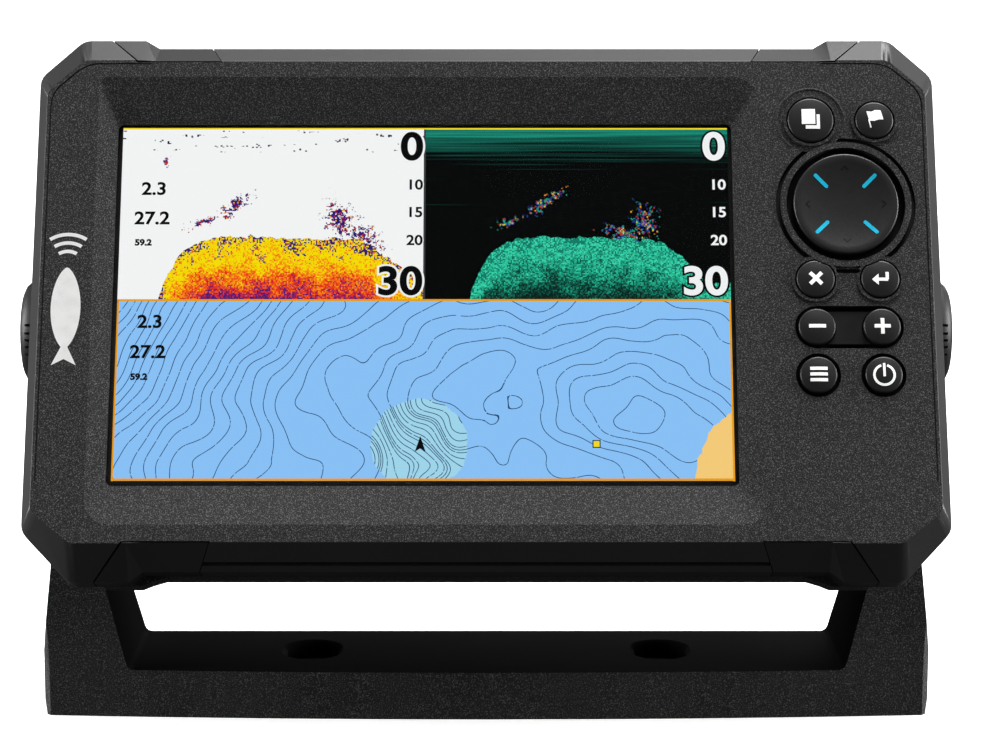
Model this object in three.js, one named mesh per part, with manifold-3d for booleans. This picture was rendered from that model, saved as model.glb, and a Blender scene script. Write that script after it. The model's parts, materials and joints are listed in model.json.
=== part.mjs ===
// Fish finder: a 7-inch display head that tilts in a U bracket between two clamp knobs.
// Millimetres, +Z up. The screen looks along -Y, and +X is on the viewer's right.
// The origin is the middle of the underside of the bracket's base.

import * as THREE from 'three';
import { mergeVertices } from 'three/addons/utils/BufferGeometryUtils.js';
import Module from 'manifold-3d';

const wasm = await Module();
wasm.setup();

// Fits
const gap = 0.3;                 // between pieces that meet
const keyPlay = 0.4;             // round a key in its collar
const ringPlay = 1.0;            // dark ring round a key without a collar
const overrun = 1;               // how far a cutter stands past the face that it opens

// Screen
const screenWidth = 152.4;
const screenHeight = 91.44;
const maskSide = 1.5;            // black border between the picture and the aperture
const maskTop = 1.5;
const maskBottom = 0.9;
const surroundTop = 11.8;        // widths of the sloped surround
const surroundBottom = 10.1;
const surroundLeft = 4.8;
const surroundRight = 6.6;
const recessDepth = 2.4;
const apertureLip = 0.8;
const apertureCorner = 1.5;
const surroundCorner = 6;

// Front frame, from the picture's edges out to the sides of the head
const bezelLeft = 22.6;
const bezelRight = 53.8;         // with the keypad
const bezelTop = 23.88;
const bezelBottom = 21.28;
const sideSlope = 3.2;           // how far the rim stands out round the face
const topSlope = 6.3;
const bottomSlope = 5.9;
const headHalf = (bezelLeft + screenWidth + bezelRight) / 2;
const headTop = screenHeight / 2 + bezelTop;
const headBottom = -screenHeight / 2 - bezelBottom;
const screenX = -headHalf + bezelLeft + screenWidth / 2;
const face = { half: headHalf - sideSlope, top: headTop - topSlope, bottom: headBottom + bottomSlope,
  lugTop: 0.3, lugBottom: 0.3, cutTopX: 9.2, cutTopY: 8.3, cutBottomX: 9.7, cutBottomY: 7.9 };
const rim = { half: headHalf, top: headTop, bottom: headBottom, lugTop: 2.2, lugBottom: 2.6,
  cutTopX: 10.9, cutTopY: 10.3, cutBottomX: 12.1, cutBottomY: 12.6 };
const lugX = headHalf - 30.4;    // where the corner lugs begin
const lugRamp = 3.6;
const slopeDepth = 7.6;
const frameDepth = 14;
const frameWall = 3;
const ledgeWidth = 2.5;
const faceWall = 2.6;
const insideStep = 4.6;          // back of the front wall beside the keypad and the glass
const underGrooveAt = 5.1;
const underGrooveWidth = 1;
const underGrooveDepth = 1.8;
const trimDepth = 1.5;
const trimInner = headHalf - 47; // front corners along the face's edge
const trimOuter = headHalf - 26;
const trimLean = 10.2;           // how far the outer seam leans out to the rim
const trimDraw = 5.6;            // how far the inner seam draws in

// Glass and display stack, each from its front face
const glassMargin = 3.6;
const glassThickness = 1.5;
const stackMargin = 3;
const spacerWidth = 2.4;
const spacerThickness = 0.9;
const panelThickness = 1.8;
const backlightThickness = 3.6;
const chassisThickness = 1.2;
const standoffHeight = 3;
const boardThickness = 1.6;
const boardInset = 5;            // of its screws
const boardScrewShank = 1.2;
const boardScrewHead = 2.4;
const flexThickness = 0.3;

// Case joint
const gasketThickness = 0.9;
const gasketWidth = 1.8;
const flangeThickness = 3.2;
const caseScrewX = headHalf - 11;
const caseScrewTop = headTop - 10.8;
const caseScrewBottom = headBottom + 17;
const caseScrewHead = 2.8;
const caseScrewShank = 1.25;
const caseScrewLength = 7;
const caseScrewSink = 1.7;       // height of the sunk head
const caseScrewIn = 4.2;         // middle screws from the seat's wall

// Rear housing
const armBay = 16.2;             // room for the bracket's arms beside the housing
const housingHalf = headHalf - armBay;
const housingTop = headTop - 11.6;
const housingBottom = headBottom + 11;
const housingDepth = 54;
const housingWall = 2.5;
const housingShoulder = housingDepth - 10;
const shoulderDrop = 3;
const backInsetX = 8;
const backInsetY = 10;
const housingCorner = 8;

const rearLugInner = headHalf - 35.6;   // lugs under the back corners, between the arms
const rearLugDepth = 6;
const rearLugDrop = 0.2;
const rearLugClear = 1.2;        // to the arm's foot when the head stands upright
const rearLipDepth = 8;          // lip along the frame's foot, between the two lugs
const rearLipWeb = 4.1;          // height of the web that joins it to the flange
const rearLipRibs = [24, 50, 72];
const rearLipRib = 2;

// Sockets
const socketX = 15;
const socketY = -20;
const socketRadius = 8;
const socketBore = 6.2;
const socketLength = 10.5;
const socketFlange = 10.6;
const socketFlangeThickness = 2;
const socketNutRadius = 11.5;
const socketNutThickness = 2.6;
const wellWidth = 66;
const wellHeight = 37;
const wellDepth = 7;
const pinRadius = 0.8;
const pinHeight = 4.6;

// Card door
const doorX = housingHalf - 40.2;
const doorY = 4;
const doorWidth = 28;
const doorHeight = 20;
const doorThickness = 2;
const doorBarrel = 1.8;
const doorPinRadius = 0.8;
const cardSlotWidth = 12.4;
const cardSlotHeight = 2.4;
const ventX = -housingHalf + 38.2;
const ventY = 22;
const ventBore = 2.4;

// Keypad, places from the middle of the head
const keyTop = 0.8;
const keyDome = 0.45;
const keyFlange = 0.9;
const keyFlangeThickness = 0.8;
const keyTravel = 0.8;
const collarWidth = 0.7;
const collarRise = 0.45;
const keyLeft = headHalf - 32.5;
const keyRight = headHalf - 16.4;
const pad = { x: headHalf - 24.3, y: headTop - 44.6, radius: 13.15, dish: 11.65, moat: 14.9,
  collar: 16.45, groove: 17.55, flange: 15.3, height: 0.9, dishDepth: 1.1 };
const padClip = 17;              // circle round the pad that trims the two keys under it
const padRock = THREE.MathUtils.degToRad(2);
const rows = { top: headTop - 22.4, under: headTop - 64.2, zoom: headTop - 76.5,
  last: headTop - 88.8 };
const keys = [
  { name: 'pages_key', x: keyLeft, y: rows.top, radius: 5.8, collar: true },
  { name: 'waypoint_key', x: keyRight, y: rows.top, radius: 4.8, collar: true },
  { name: 'exit_key', x: keyLeft, y: rows.under, radius: 4.75, collar: true, clipped: true },
  { name: 'enter_key', x: keyRight, y: rows.under, radius: 4.75, collar: true, clipped: true },
  { name: 'zoom_out_key', x: keyLeft, y: rows.zoom, radius: 4.6, shared: true },
  { name: 'zoom_in_key', x: keyRight, y: rows.zoom, radius: 4.6, shared: true },
  { name: 'menu_key', x: keyLeft, y: rows.last, radius: 4.6 },
  { name: 'power_key', x: keyRight, y: rows.last, radius: 4.6 },
];
const sharedEnd = 5.45;          // end radius of the oblong hole that two keys share
const bridgeHeight = 8.4;
const bridgeLevel = 0.8;         // below the face
const keypadMargin = 5;          // keypad pocket round the outer keys
const matThickness = 0.8;
const keypadBoardThickness = 1.6;

// Tilt axis and clamp knobs
const headTilt = THREE.MathUtils.degToRad(24);
const pivotY = 0.5;              // in the head, from the middle of the screen
const pivotRoom = 2;             // between the frame's back and a knob
const headRoom = 14.7;           // under the head when it stands upright
const washerThickness = 1.2;
const washerRadius = 13;
const studRadius = 3;
const insertRadius = 5;
const insertLength = 12;
const bossWall = 3;
const knobRadius = 16;
const pivotDepth = frameDepth + pivotRoom + knobRadius;
const knobTaper = 1.2;
const knobHeight = 13.6;
const knobFlange = 3;
const knobRibs = 5;              // grooves in each of four groups
const knobRibPitch = THREE.MathUtils.degToRad(8);
const knobRibDepth = 0.7;
const knobRibWidth = 0.8;

// Bracket
const baseDepth = 38;
const baseThickness = 12.4;
const pivotHeight = baseThickness + headRoom - rim.bottom + rim.lugBottom + pivotY;
const baseBow = 4;               // how far the front of the base bows forward
const baseToe = 0.6;             // how far the outer faces draw in to the underside
const armFoot = 22;              // width of an arm where it meets the base
const armInset = 8.2;            // how far the outer face leans in from foot to pivot
const armThickness = 6.1;        // at the tilt axis
const armSplay = 28;             // height over which the inner face leans out
const armTop = knobRadius - 1;   // radius round the tilt axis
const armWaist = 36;             // distance under the axis at which the arm starts to widen
const plinth = 17;               // height of the upright outer face
const edgeCut = 1.6;
const washerInner = housingHalf + gap;
const armInner = washerInner + washerThickness + gap;
const armOuter = armInner + armThickness;
const baseHalf = armOuter + armInset;
const slotX = 46;
const slotWidth = 8;
const slotLength = 13;
const rimWidth = 15.9;
const rimLength = 20;
const rimSink = 4.5;
const pocketWidth = 19;
const pocketLength = 21;
const pocketRoof = 4;
const pocketRib = 3;

const black = { color: 0x1b1c1e, roughness: 0.62, metalness: 0 };
const satin = { color: 0x141416, roughness: 0.42, metalness: 0 };
const rubber = { color: 0x101112, roughness: 0.8, metalness: 0 };
const keyRubber = { color: 0x232427, roughness: 0.55, metalness: 0 };
const board = { color: 0x14532f, roughness: 0.5, metalness: 0 };
const steel = { color: 0xb9bcc0, roughness: 0.3, metalness: 1 };
const brass = { color: 0xc09a4a, roughness: 0.35, metalness: 1 };
const sheetMetal = { color: 0x9a9da1, roughness: 0.4, metalness: 1 };
const ceramic = { color: 0xc9b58a, roughness: 0.6, metalness: 0 };
const glass = { color: 0x0a0c0f, roughness: 0.06, metalness: 0 };
const panel = { color: 0x9ccbf5, roughness: 0.2, metalness: 0 };
const white = { color: 0xe8e8e6, roughness: 0.6, metalness: 0 };
const amber = { color: 0xb8742a, roughness: 0.5, metalness: 0 };

// Solids

function solid(geometry) {
  const bare = geometry.clone();
  bare.deleteAttribute('normal');
  bare.deleteAttribute('uv');
  const merged = mergeVertices(bare, 1e-4);
  return new wasm.Manifold(new wasm.Mesh({
    numProp: 3,
    vertProperties: new Float32Array(merged.attributes.position.array),
    triVerts: new Uint32Array(merged.index.array),
  }));
}

function geometryOf(body) {
  const mesh = body.getMesh();
  const geometry = new THREE.BufferGeometry();
  geometry.setAttribute('position', new THREE.BufferAttribute(mesh.vertProperties, 3));
  geometry.setIndex(new THREE.BufferAttribute(mesh.triVerts, 1));
  geometry.computeVertexNormals();
  return geometry;
}

// Corner points [x, y, radius] of a closed outline; a radius turns its corner into an arc.
function rounded(corners, steps = 3) {
  const points = [];
  corners.forEach(([x, y, radius = 0], i) => {
    const corner = new THREE.Vector2(x, y);
    if (radius === 0) {
      points.push(corner);
      return;
    }
    const [px, py] = corners[(i + corners.length - 1) % corners.length];
    const [nx, ny] = corners[(i + 1) % corners.length];
    const back = new THREE.Vector2(px - x, py - y).normalize();
    const on = new THREE.Vector2(nx - x, ny - y).normalize();
    const halfAngle = Math.acos(THREE.MathUtils.clamp(back.dot(on), -1, 1)) / 2;
    const middle = back.clone().add(on).normalize();
    const centre = corner.clone().addScaledVector(middle, radius / Math.sin(halfAngle));
    const from = corner.clone().addScaledVector(back, radius / Math.tan(halfAngle)).sub(centre);
    const turn = Math.sign(back.y * on.x - back.x * on.y) * (Math.PI - 2 * halfAngle);
    for (let k = 0; k <= steps; k += 1) {
      const spoke = from.clone().rotateAround(new THREE.Vector2(), turn * k / steps);
      points.push(spoke.add(centre));
    }
  });
  return points;
}

function rectangle(left, right, bottom, top, radius = 0, steps = 3) {
  return rounded([[left, bottom, radius], [right, bottom, radius],
    [right, top, radius], [left, top, radius]], steps);
}

function circle(x, y, radius, steps = 32) {
  return Array.from({ length: steps }, (_, i) => {
    const angle = 2 * Math.PI * i / steps;
    return new THREE.Vector2(x + radius * Math.cos(angle), y + radius * Math.sin(angle));
  });
}

function stadium(x, y, length, radius, steps = 8) {
  return rectangle(x - length / 2, x + length / 2, y - radius, y + radius, radius * 0.999, steps);
}

// A prism of an outline between two levels along the third axis.
function prism(points, low, high) {
  const geometry = new THREE.ExtrudeGeometry(new THREE.Shape(points),
    { depth: high - low, bevelEnabled: false });
  geometry.translate(0, 0, low);
  return solid(geometry);
}

// A body through outlines of equal point count, one at each level, from the lowest up.
function loft(sections) {
  const base = sections[0].points;
  const geometry = new THREE.ExtrudeGeometry(new THREE.Shape(base),
    { depth: sections.length - 1, steps: sections.length - 1, bevelEnabled: false });
  const position = geometry.attributes.position;
  const nearest = (x, y) => {
    let best = 0;
    base.forEach((point, i) => {
      if (Math.hypot(point.x - x, point.y - y) < Math.hypot(base[best].x - x, base[best].y - y)) {
        best = i;
      }
    });
    return best;
  };
  for (let i = 0; i < position.count; i += 1) {
    const section = sections[Math.round(position.getZ(i))];
    const point = section.points[nearest(position.getX(i), position.getY(i))];
    position.setXYZ(i, point.x, point.y, section.at);
  }
  return solid(geometry);
}

// A turned body about the third axis, from [radius, level] points that start and end on it.
function turned(profile, segments = 20) {
  const points = profile.map(([radius, level]) => new THREE.Vector2(radius, level));
  const geometry = new THREE.LatheGeometry(points, segments);
  geometry.rotateX(Math.PI / 2);
  const body = solid(geometry);
  return body.volume() < 0 ? solid(flipped(geometry)) : body;
}

function flipped(geometry) {
  const index = geometry.index.array;
  for (let i = 0; i < index.length; i += 3) {
    [index[i], index[i + 1]] = [index[i + 1], index[i]];
  }
  return geometry;
}

function disc(x, y, radius, low, high, steps = 24) {
  return prism(circle(x, y, radius, steps), low, high);
}

function ring(x, y, inner, outer, low, high, steps = 24) {
  return disc(x, y, outer, low, high, steps)
    .subtract(disc(x, y, inner, low - overrun, high + overrun, steps));
}

// Turns a body made along the third axis so that the axis points along +X.
function alongX(body) {
  return body.rotate([0, 90, 0]);
}

const group = new THREE.Group();
const bracketGroup = new THREE.Group();
const head = new THREE.Group();
const headFrame = new THREE.Group();
group.add(bracketGroup, headFrame);
headFrame.add(head);

// In the head, x is right, y is up the face and z comes out of the screen from the front face.
headFrame.position.set(0, 0, pivotHeight);
headFrame.rotation.x = Math.PI / 2 - headTilt;
head.position.set(0, -pivotY, pivotDepth);

function addPart(parent, name, body, finish) {
  const mesh = new THREE.Mesh(geometryOf(body), new THREE.MeshStandardMaterial(finish));
  mesh.name = name;
  parent.add(mesh);
  return mesh;
}

// Levels behind the front face

const glassFront = -(recessDepth + apertureLip + gap);
const glassBack = glassFront - glassThickness;
const spacerFront = glassBack - gap;
const spacerBack = spacerFront - spacerThickness;
const panelFront = spacerBack - gap;
const panelBack = panelFront - panelThickness;
const backlightFront = panelBack - gap;
const backlightBack = backlightFront - backlightThickness;
const chassisFront = backlightBack - gap;
const chassisBack = chassisFront - chassisThickness;
const mainBoardFront = chassisBack - standoffHeight - gap;
const mainBoardBack = mainBoardFront - boardThickness;
const flangeFront = -(frameDepth - flangeThickness);
const gasketBack = flangeFront + gap;
const gasketFront = gasketBack + gasketThickness;
const ledgeLevel = gasketFront + gap;
const keyFlangeTop = -(faceWall + keyPlay);
const keyFlangeBottom = keyFlangeTop - keyFlangeThickness;
const keyFoot = keyFlangeBottom - 0.9;
const matTop = keyFoot - keyTravel - keyPlay;
const matBottom = matTop - matThickness;
const keypadBoardTop = matBottom - gap;
const keypadBoardBottom = keypadBoardTop - keypadBoardThickness;

// Edges of the screen and its surround

const screen = {
  left: screenX - screenWidth / 2,
  right: screenX + screenWidth / 2,
  top: screenHeight / 2,
  bottom: -screenHeight / 2,
};
const aperture = {
  left: screen.left - maskSide,
  right: screen.right + maskSide,
  top: screen.top + maskTop,
  bottom: screen.bottom - maskBottom,
};

function aroundScreen(margin, radius = 1) {
  return rectangle(screen.left - margin, screen.right + margin,
    screen.bottom - margin, screen.top + margin, radius);
}

function aroundGlass(play) {
  const margin = glassMargin + play;
  return rectangle(aperture.left - margin, aperture.right + margin,
    aperture.bottom - margin, aperture.top + margin, 2);
}

// Outline of the head at one depth, drawn in by a margin; the lugs are its four raised corners.
function headOutline(size, inset = 0) {
  const half = size.half - inset;
  const lugTop = size.top + size.lugTop - inset;
  const lugBottom = size.bottom - size.lugBottom + inset;
  const soft = inset === 0 ? 4.5 : 2.5;
  const right = [
    [lugX, size.top - inset],
    [lugX + lugRamp, lugTop],
    [half - size.cutTopX, lugTop, soft],
    [half, lugTop - size.cutTopY, soft],
    [half, lugBottom + size.cutBottomY, soft],
    [half - size.cutBottomX, lugBottom, soft],
    [lugX + lugRamp, lugBottom],
    [lugX, size.bottom + inset],
  ];
  const left = right.map(([x, y, radius]) => [-x, y, radius]).reverse();
  return rounded([...right, ...left]);
}

function frameEnvelope() {
  return loft([
    { at: -frameDepth, points: headOutline(rim) },
    { at: -slopeDepth, points: headOutline(rim) },
    { at: 0, points: headOutline(face) },
  ]);
}

// Satin trim plates let into the slopes beside the four lugs

function trimOutline(side, up, play) {
  const near = up ? face.top : face.bottom;
  const far = up ? rim.top + rim.lugTop : rim.bottom - rim.lugBottom;
  const reach = Math.sign(far) * 3;
  const grow = Math.sign(far) * play;
  const corners = [
    [trimInner - play, near - grow],
    [trimOuter + play, near - grow],
    [trimOuter + trimLean + play, far + reach],
    [trimInner + trimDraw - play, far + reach],
  ];
  return corners.map(([x, y]) => new THREE.Vector2(side * x, y));
}

function sunk(envelope, up, depth) {
  return envelope.translate([0, up ? -depth : depth, -depth * 0.7]);
}

function cornerTrim(envelope, side, up) {
  return prism(trimOutline(side, up, 0), -frameDepth + overrun, overrun)
    .intersect(envelope)
    .subtract(sunk(envelope, up, trimDepth));
}

function trimPocket(envelope, side, up) {
  return prism(trimOutline(side, up, gap), -frameDepth + overrun - gap, overrun)
    .subtract(sunk(envelope, up, trimDepth + gap));
}

// Screws that close the case

const caseScrews = [
  [-caseScrewX, caseScrewTop], [caseScrewX, caseScrewTop],
  [-caseScrewX, caseScrewBottom], [caseScrewX, caseScrewBottom],
  [0, rim.top - frameWall - caseScrewIn], [0, rim.bottom + frameWall + caseScrewIn],
];

function keyHole(key) {
  return key.radius + (key.collar ? keyPlay : ringPlay);
}

function keypadBox(play) {
  const xs = keys.map((key) => key.x);
  const ys = keys.map((key) => key.y);
  const outer = Math.max(...keys.map((key) => key.radius)) + keyFlange;
  return rectangle(Math.min(...xs, pad.x - pad.flange + outer) - outer - play,
    Math.max(...xs, pad.x + pad.flange - outer) + outer + play,
    Math.min(...ys) - outer - play, Math.max(...ys) + outer + play, 1.5);
}

function frontFrame() {
  const envelope = frameEnvelope();
  const surround = {
    left: aperture.left - surroundLeft,
    right: aperture.right + surroundRight,
    bottom: aperture.bottom - surroundBottom,
    top: aperture.top + surroundTop,
  };
  const outer = rounded([[surround.left, surround.bottom, surroundCorner],
    [surround.right, surround.bottom, surroundCorner], [surround.right, surround.top, surroundCorner],
    [surround.left, surround.top, 2.2]]);
  const inner = rectangle(aperture.left, aperture.right, aperture.bottom, aperture.top,
    apertureCorner);
  const recess = loft([
    { at: -frameDepth, points: inner },
    { at: -recessDepth, points: inner },
    { at: 0, points: outer },
    { at: overrun, points: outer },
  ]);

  let body = envelope;
  for (const key of keys) {
    if (key.collar) {
      body = body.add(disc(key.x, key.y, keyHole(key) + collarWidth, -overrun, collarRise));
    }
  }
  body = body.add(disc(pad.x, pad.y, pad.collar, -overrun, collarRise, 40));
  body = body.subtract(recess);

  // Cavities, from the front wall back to the case joint
  const cavity = headOutline(rim, frameWall + ledgeWidth);
  const seat = headOutline(rim, frameWall);
  let hollow = prism(cavity, ledgeLevel - overrun, -insideStep)
    .add(prism(seat, -frameDepth - overrun, ledgeLevel))
    .add(prism(aroundGlass(gap), -insideStep - overrun, glassFront + gap))
    .add(prism(keypadBox(gap), -insideStep - overrun, -faceWall));
  for (const [x, y] of caseScrews) {
    hollow = hollow.subtract(disc(x, y, caseScrewShank + 2.2, ledgeLevel, 0, 16));
  }
  body = body.subtract(hollow);

  // Groove round the cursor pad, broken where the key collars meet it
  const groove = ring(pad.x, pad.y, pad.collar, pad.groove, -0.9, overrun, 40);
  const slot = prism(rectangle(pad.x - 3, pad.x + 3, pad.y - pad.groove - 0.4,
    pad.y - pad.groove + 0.6, 0.4), -0.9, overrun);
  const pages = keys[0];
  const gaps = disc(pages.x, pages.y, keyHole(pages) + 2.2, -overrun, overrun + overrun)
    .add(prism(rectangle(pad.x - 10.6, pad.x + 10.6, pad.y - pad.groove - overrun,
      pad.y - 13.6), -overrun, overrun + overrun));
  body = body.subtract(groove.subtract(gaps)).subtract(slot);

  body = body.subtract(disc(pad.x, pad.y, pad.moat, -insideStep - overrun, overrun, 40));
  for (const key of keys.filter((one) => !one.shared)) {
    let hole = disc(key.x, key.y, keyHole(key), -insideStep - overrun, overrun);
    if (key.clipped) {
      hole = hole.subtract(disc(pad.x, pad.y, padClip - keyPlay, -faceWall - overrun, overrun, 40));
    }
    body = body.subtract(hole);
  }
  const [zoomOut, zoomIn] = keys.filter((key) => key.shared);
  body = body.subtract(prism(stadium((zoomOut.x + zoomIn.x) / 2, zoomOut.y,
    zoomIn.x - zoomOut.x + 2 * sharedEnd, sharedEnd), -insideStep - overrun, overrun));

  for (const [x, y] of caseScrews) {
    body = body.subtract(disc(x, y, caseScrewShank + gap, -frameDepth - overrun,
      -frameDepth + caseScrewSink + caseScrewLength + 1 + gap, 16));
  }
  const shadow = underGrooveDepth + overrun;
  const grooveHalf = trimInner + trimDraw * 0.75;
  body = body.subtract(prism(rectangle(-grooveHalf, grooveHalf, rim.bottom - shadow,
    face.bottom - underGrooveAt * 0.78 + underGrooveDepth),
  -underGrooveAt - underGrooveWidth, -underGrooveAt));
  for (const side of [-1, 1]) {
    for (const up of [true, false]) {
      body = body.subtract(trimPocket(envelope, side, up));
    }
  }
  return body;
}

addPart(head, 'front_frame', frontFrame(), black);
for (const [side, sideName] of [[-1, 'left'], [1, 'right']]) {
  for (const [up, upName] of [[true, 'top'], [false, 'bottom']]) {
    addPart(head, `${upName}_${sideName}_trim`, cornerTrim(frameEnvelope(), side, up), satin);
  }
}

// Glass, display and boards

addPart(head, 'cover_glass', prism(aroundGlass(0), glassBack, glassFront), glass);
addPart(head, 'display_spacer', prism(aroundScreen(stackMargin), spacerBack, spacerFront)
  .subtract(prism(aroundScreen(stackMargin - spacerWidth), spacerBack - overrun,
    spacerFront + overrun)), rubber);
addPart(head, 'lcd_panel', prism(aroundScreen(stackMargin), panelBack, panelFront), panel);
addPart(head, 'backlight_unit', prism(aroundScreen(stackMargin), backlightBack, backlightFront),
  white);

const mainBoard = { left: screen.left + 7, right: screen.right - 6,
  bottom: screen.bottom + 3.7, top: screen.top - 3.7 };
const boardHoles = [];
for (const x of [mainBoard.left + boardInset, mainBoard.right - boardInset]) {
  for (const y of [mainBoard.bottom + boardInset, mainBoard.top - boardInset]) {
    boardHoles.push([x, y]);
  }
}

function chassisPlate() {
  let body = prism(aroundScreen(stackMargin), chassisBack, chassisFront);
  for (const [x, y] of boardHoles) {
    body = body.add(disc(x, y, 3, chassisBack - standoffHeight, chassisFront, 16));
  }
  for (const [x, y] of boardHoles) {
    body = body.subtract(disc(x, y, boardScrewShank + gap, chassisBack - standoffHeight - overrun,
      chassisBack - gap, 16));
  }
  const window = rectangle(screenX - 18, screenX + 18, -14, 14, 3);
  return body.subtract(prism(window, chassisBack - overrun, chassisFront + overrun));
}

function mainBoardBody() {
  let body = prism(rectangle(mainBoard.left, mainBoard.right, mainBoard.bottom, mainBoard.top, 2),
    mainBoardBack, mainBoardFront);
  for (const [x, y] of boardHoles) {
    body = body.subtract(disc(x, y, boardScrewShank + gap, mainBoardBack - overrun,
      mainBoardFront + overrun, 16));
  }
  return body;
}

function boardScrew() {
  const headBottom = mainBoardBack - gap;
  const tip = chassisBack - gap * 3;
  return turned([[0, tip], [boardScrewShank, tip], [boardScrewShank, headBottom],
    [boardScrewHead, headBottom], [boardScrewHead, headBottom - 1], [0, headBottom - 1.5]], 12);
}

addPart(head, 'chassis_plate', chassisPlate(), sheetMetal);
addPart(head, 'main_board', mainBoardBody(), board);
boardHoles.forEach(([x, y], i) => {
  addPart(head, `board_screw_${i + 1}`, boardScrew(), steel).position.set(x, y, 0);
});

const boardTop = mainBoardBack - gap;
addPart(head, 'processor_shield', prism(rectangle(screenX - 21, screenX + 21, -16, 26, 1.5),
  boardTop - 3.4, boardTop), sheetMetal);
addPart(head, 'gps_antenna', prism(rectangle(mainBoard.right - 35, mainBoard.right - 10,
  mainBoard.top - 38, mainBoard.top - 13, 1), boardTop - 4, boardTop), ceramic);
addPart(head, 'buzzer', turned([[0, boardTop - 7], [6, boardTop - 7], [6, boardTop],
  [0, boardTop]]), rubber).position.set(mainBoard.left + 22.8, -20, 0);

// Flat cables, as strips bent in the plane across the boards

function strip(corners, thickness, width) {
  const outer = corners.map(([a, b]) => [a, b]);
  const inner = corners.map(([a, b], i) => {
    const [pa, pb] = corners[Math.max(i - 1, 0)];
    const [na, nb] = corners[Math.min(i + 1, corners.length - 1)];
    const normals = [[a - pa, b - pb], [na - a, nb - b]]
      .filter(([p, q]) => Math.hypot(p, q) > 0)
      .map(([p, q]) => [-q / Math.hypot(p, q), p / Math.hypot(p, q)]);
    const shift = normals.length === 1 ? normals[0]
      : [normals[0][0] + normals[1][0], normals[0][1] + normals[1][1]];
    return [a + shift[0] * thickness, b + shift[1] * thickness];
  });
  const points = [...outer, ...inner.reverse()].map(([a, b]) => new THREE.Vector2(a, b));
  return prism(points, -width / 2, width / 2);
}

const flexBoardLevel = mainBoardFront + gap;
const keypadEdge = pad.x - pad.flange - keypadMargin;
const keypadFlex = strip([[keypadEdge + 8, keypadBoardBottom - gap - flexThickness],
  [keypadEdge - 3.5, keypadBoardBottom - gap - flexThickness],
  [keypadEdge - 3.5, flexBoardLevel], [mainBoard.right - 3, flexBoardLevel]], flexThickness, 12)
  .rotate([90, 0, 0]);
addPart(head, 'keypad_flex', keypadFlex, amber).position.set(0, pad.y - 12, 0);

const displayFlex = strip([[screen.bottom - stackMargin - gap, panelFront - 0.6],
  [screen.bottom - stackMargin - 2.6, panelFront - 0.6],
  [screen.bottom - stackMargin - 2.6, flexBoardLevel], [mainBoard.bottom + 6, flexBoardLevel]],
flexThickness, 30).rotate([90, 0, 90]);
addPart(head, 'display_flex', displayFlex, amber).position.set(screenX, 0, 0);

// Keypad

function keyBody(key) {
  const { radius } = key;
  const crown = keyTop + keyDome;
  let body = turned([[0, keyFoot], [2, keyFoot], [2, keyFlangeBottom],
    [radius + keyFlange, keyFlangeBottom], [radius + keyFlange, keyFlangeTop],
    [radius, keyFlangeTop], [radius, keyTop - 0.5], [radius - 0.5, keyTop],
    [radius * 0.55, crown - 0.12], [0, crown]]);
  if (key.clipped) {
    const clip = disc(pad.x - key.x, pad.y - key.y, padClip, -faceWall - gap, keyTop + overrun, 40)
      .add(disc(pad.x - key.x, pad.y - key.y, pad.flange + 0.6, keyFlangeBottom - overrun,
        -faceWall, 40));
    body = body.subtract(clip);
  }
  return body;
}

for (const key of keys) {
  addPart(head, key.name, keyBody(key), keyRubber).position.set(key.x, key.y, 0);
}

const [zoomOutKey, zoomInKey] = keys.filter((key) => key.shared);

function zoomBridge() {
  const middle = (zoomOutKey.x + zoomInKey.x) / 2;
  const reach = (zoomInKey.x - zoomOutKey.x) / 2 - 1;
  let body = prism(rectangle(middle - reach, middle + reach, zoomOutKey.y - bridgeHeight / 2,
    zoomOutKey.y + bridgeHeight / 2), matTop + gap, -bridgeLevel);
  for (const key of [zoomOutKey, zoomInKey]) {
    body = body
      .subtract(disc(key.x, key.y, key.radius + gap, matTop, overrun))
      .subtract(disc(key.x, key.y, key.radius + keyFlange + gap, matTop, -faceWall + gap));
  }
  return body;
}

addPart(head, 'zoom_bridge', zoomBridge(), satin);

const padFlangeTop = -(faceWall + pad.height);
const padFlangeBottom = padFlangeTop - keyFlangeThickness;
const padFloor = pad.height + 0.1 - pad.dishDepth;

function cursorPad() {
  const { radius, dish, flange, height } = pad;
  return turned([[0, padFlangeBottom], [flange, padFlangeBottom], [flange, padFlangeTop],
    [radius, padFlangeTop], [radius, height - 0.5], [radius - 0.55, height],
    [dish, height + 0.1], [dish * 0.75, height - pad.dishDepth * 0.45],
    [dish * 0.4, padFloor + 0.12], [0, padFloor]], 40);
}

const carrierReach = pad.dish - 2.5;
const carrierTop = padFlangeBottom - gap;
const carrierBottom = carrierTop - 0.8;

// A bar along the pad's upright axis, with a hub: the pad rocks sideways on it.
function padCarrier() {
  return prism(rectangle(-2.2, 2.2, -carrierReach, carrierReach, 1), carrierBottom, carrierTop)
    .add(disc(0, 0, 3.6, carrierBottom, carrierTop, 16));
}

addPart(head, 'cursor_pad', cursorPad(), keyRubber).position.set(pad.x, pad.y, 0);
addPart(head, 'cursor_pad_carrier', padCarrier(), white).position.set(pad.x, pad.y, 0);

const padWell = carrierBottom - carrierReach * Math.sin(padRock) - gap;

function keypadMat() {
  let body = prism(keypadBox(0), matBottom, matTop);
  for (const key of keys) {
    body = body.add(disc(key.x, key.y, 2.2, matTop - matThickness / 2, matTop + 0.2, 12));
  }
  return body.subtract(disc(pad.x, pad.y, pad.flange, Math.min(padWell, matTop), overrun, 24));
}

addPart(head, 'keypad_mat', keypadMat(), rubber);
addPart(head, 'keypad_board', prism(keypadBox(0), keypadBoardBottom, keypadBoardTop), board);

// Case joint

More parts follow.
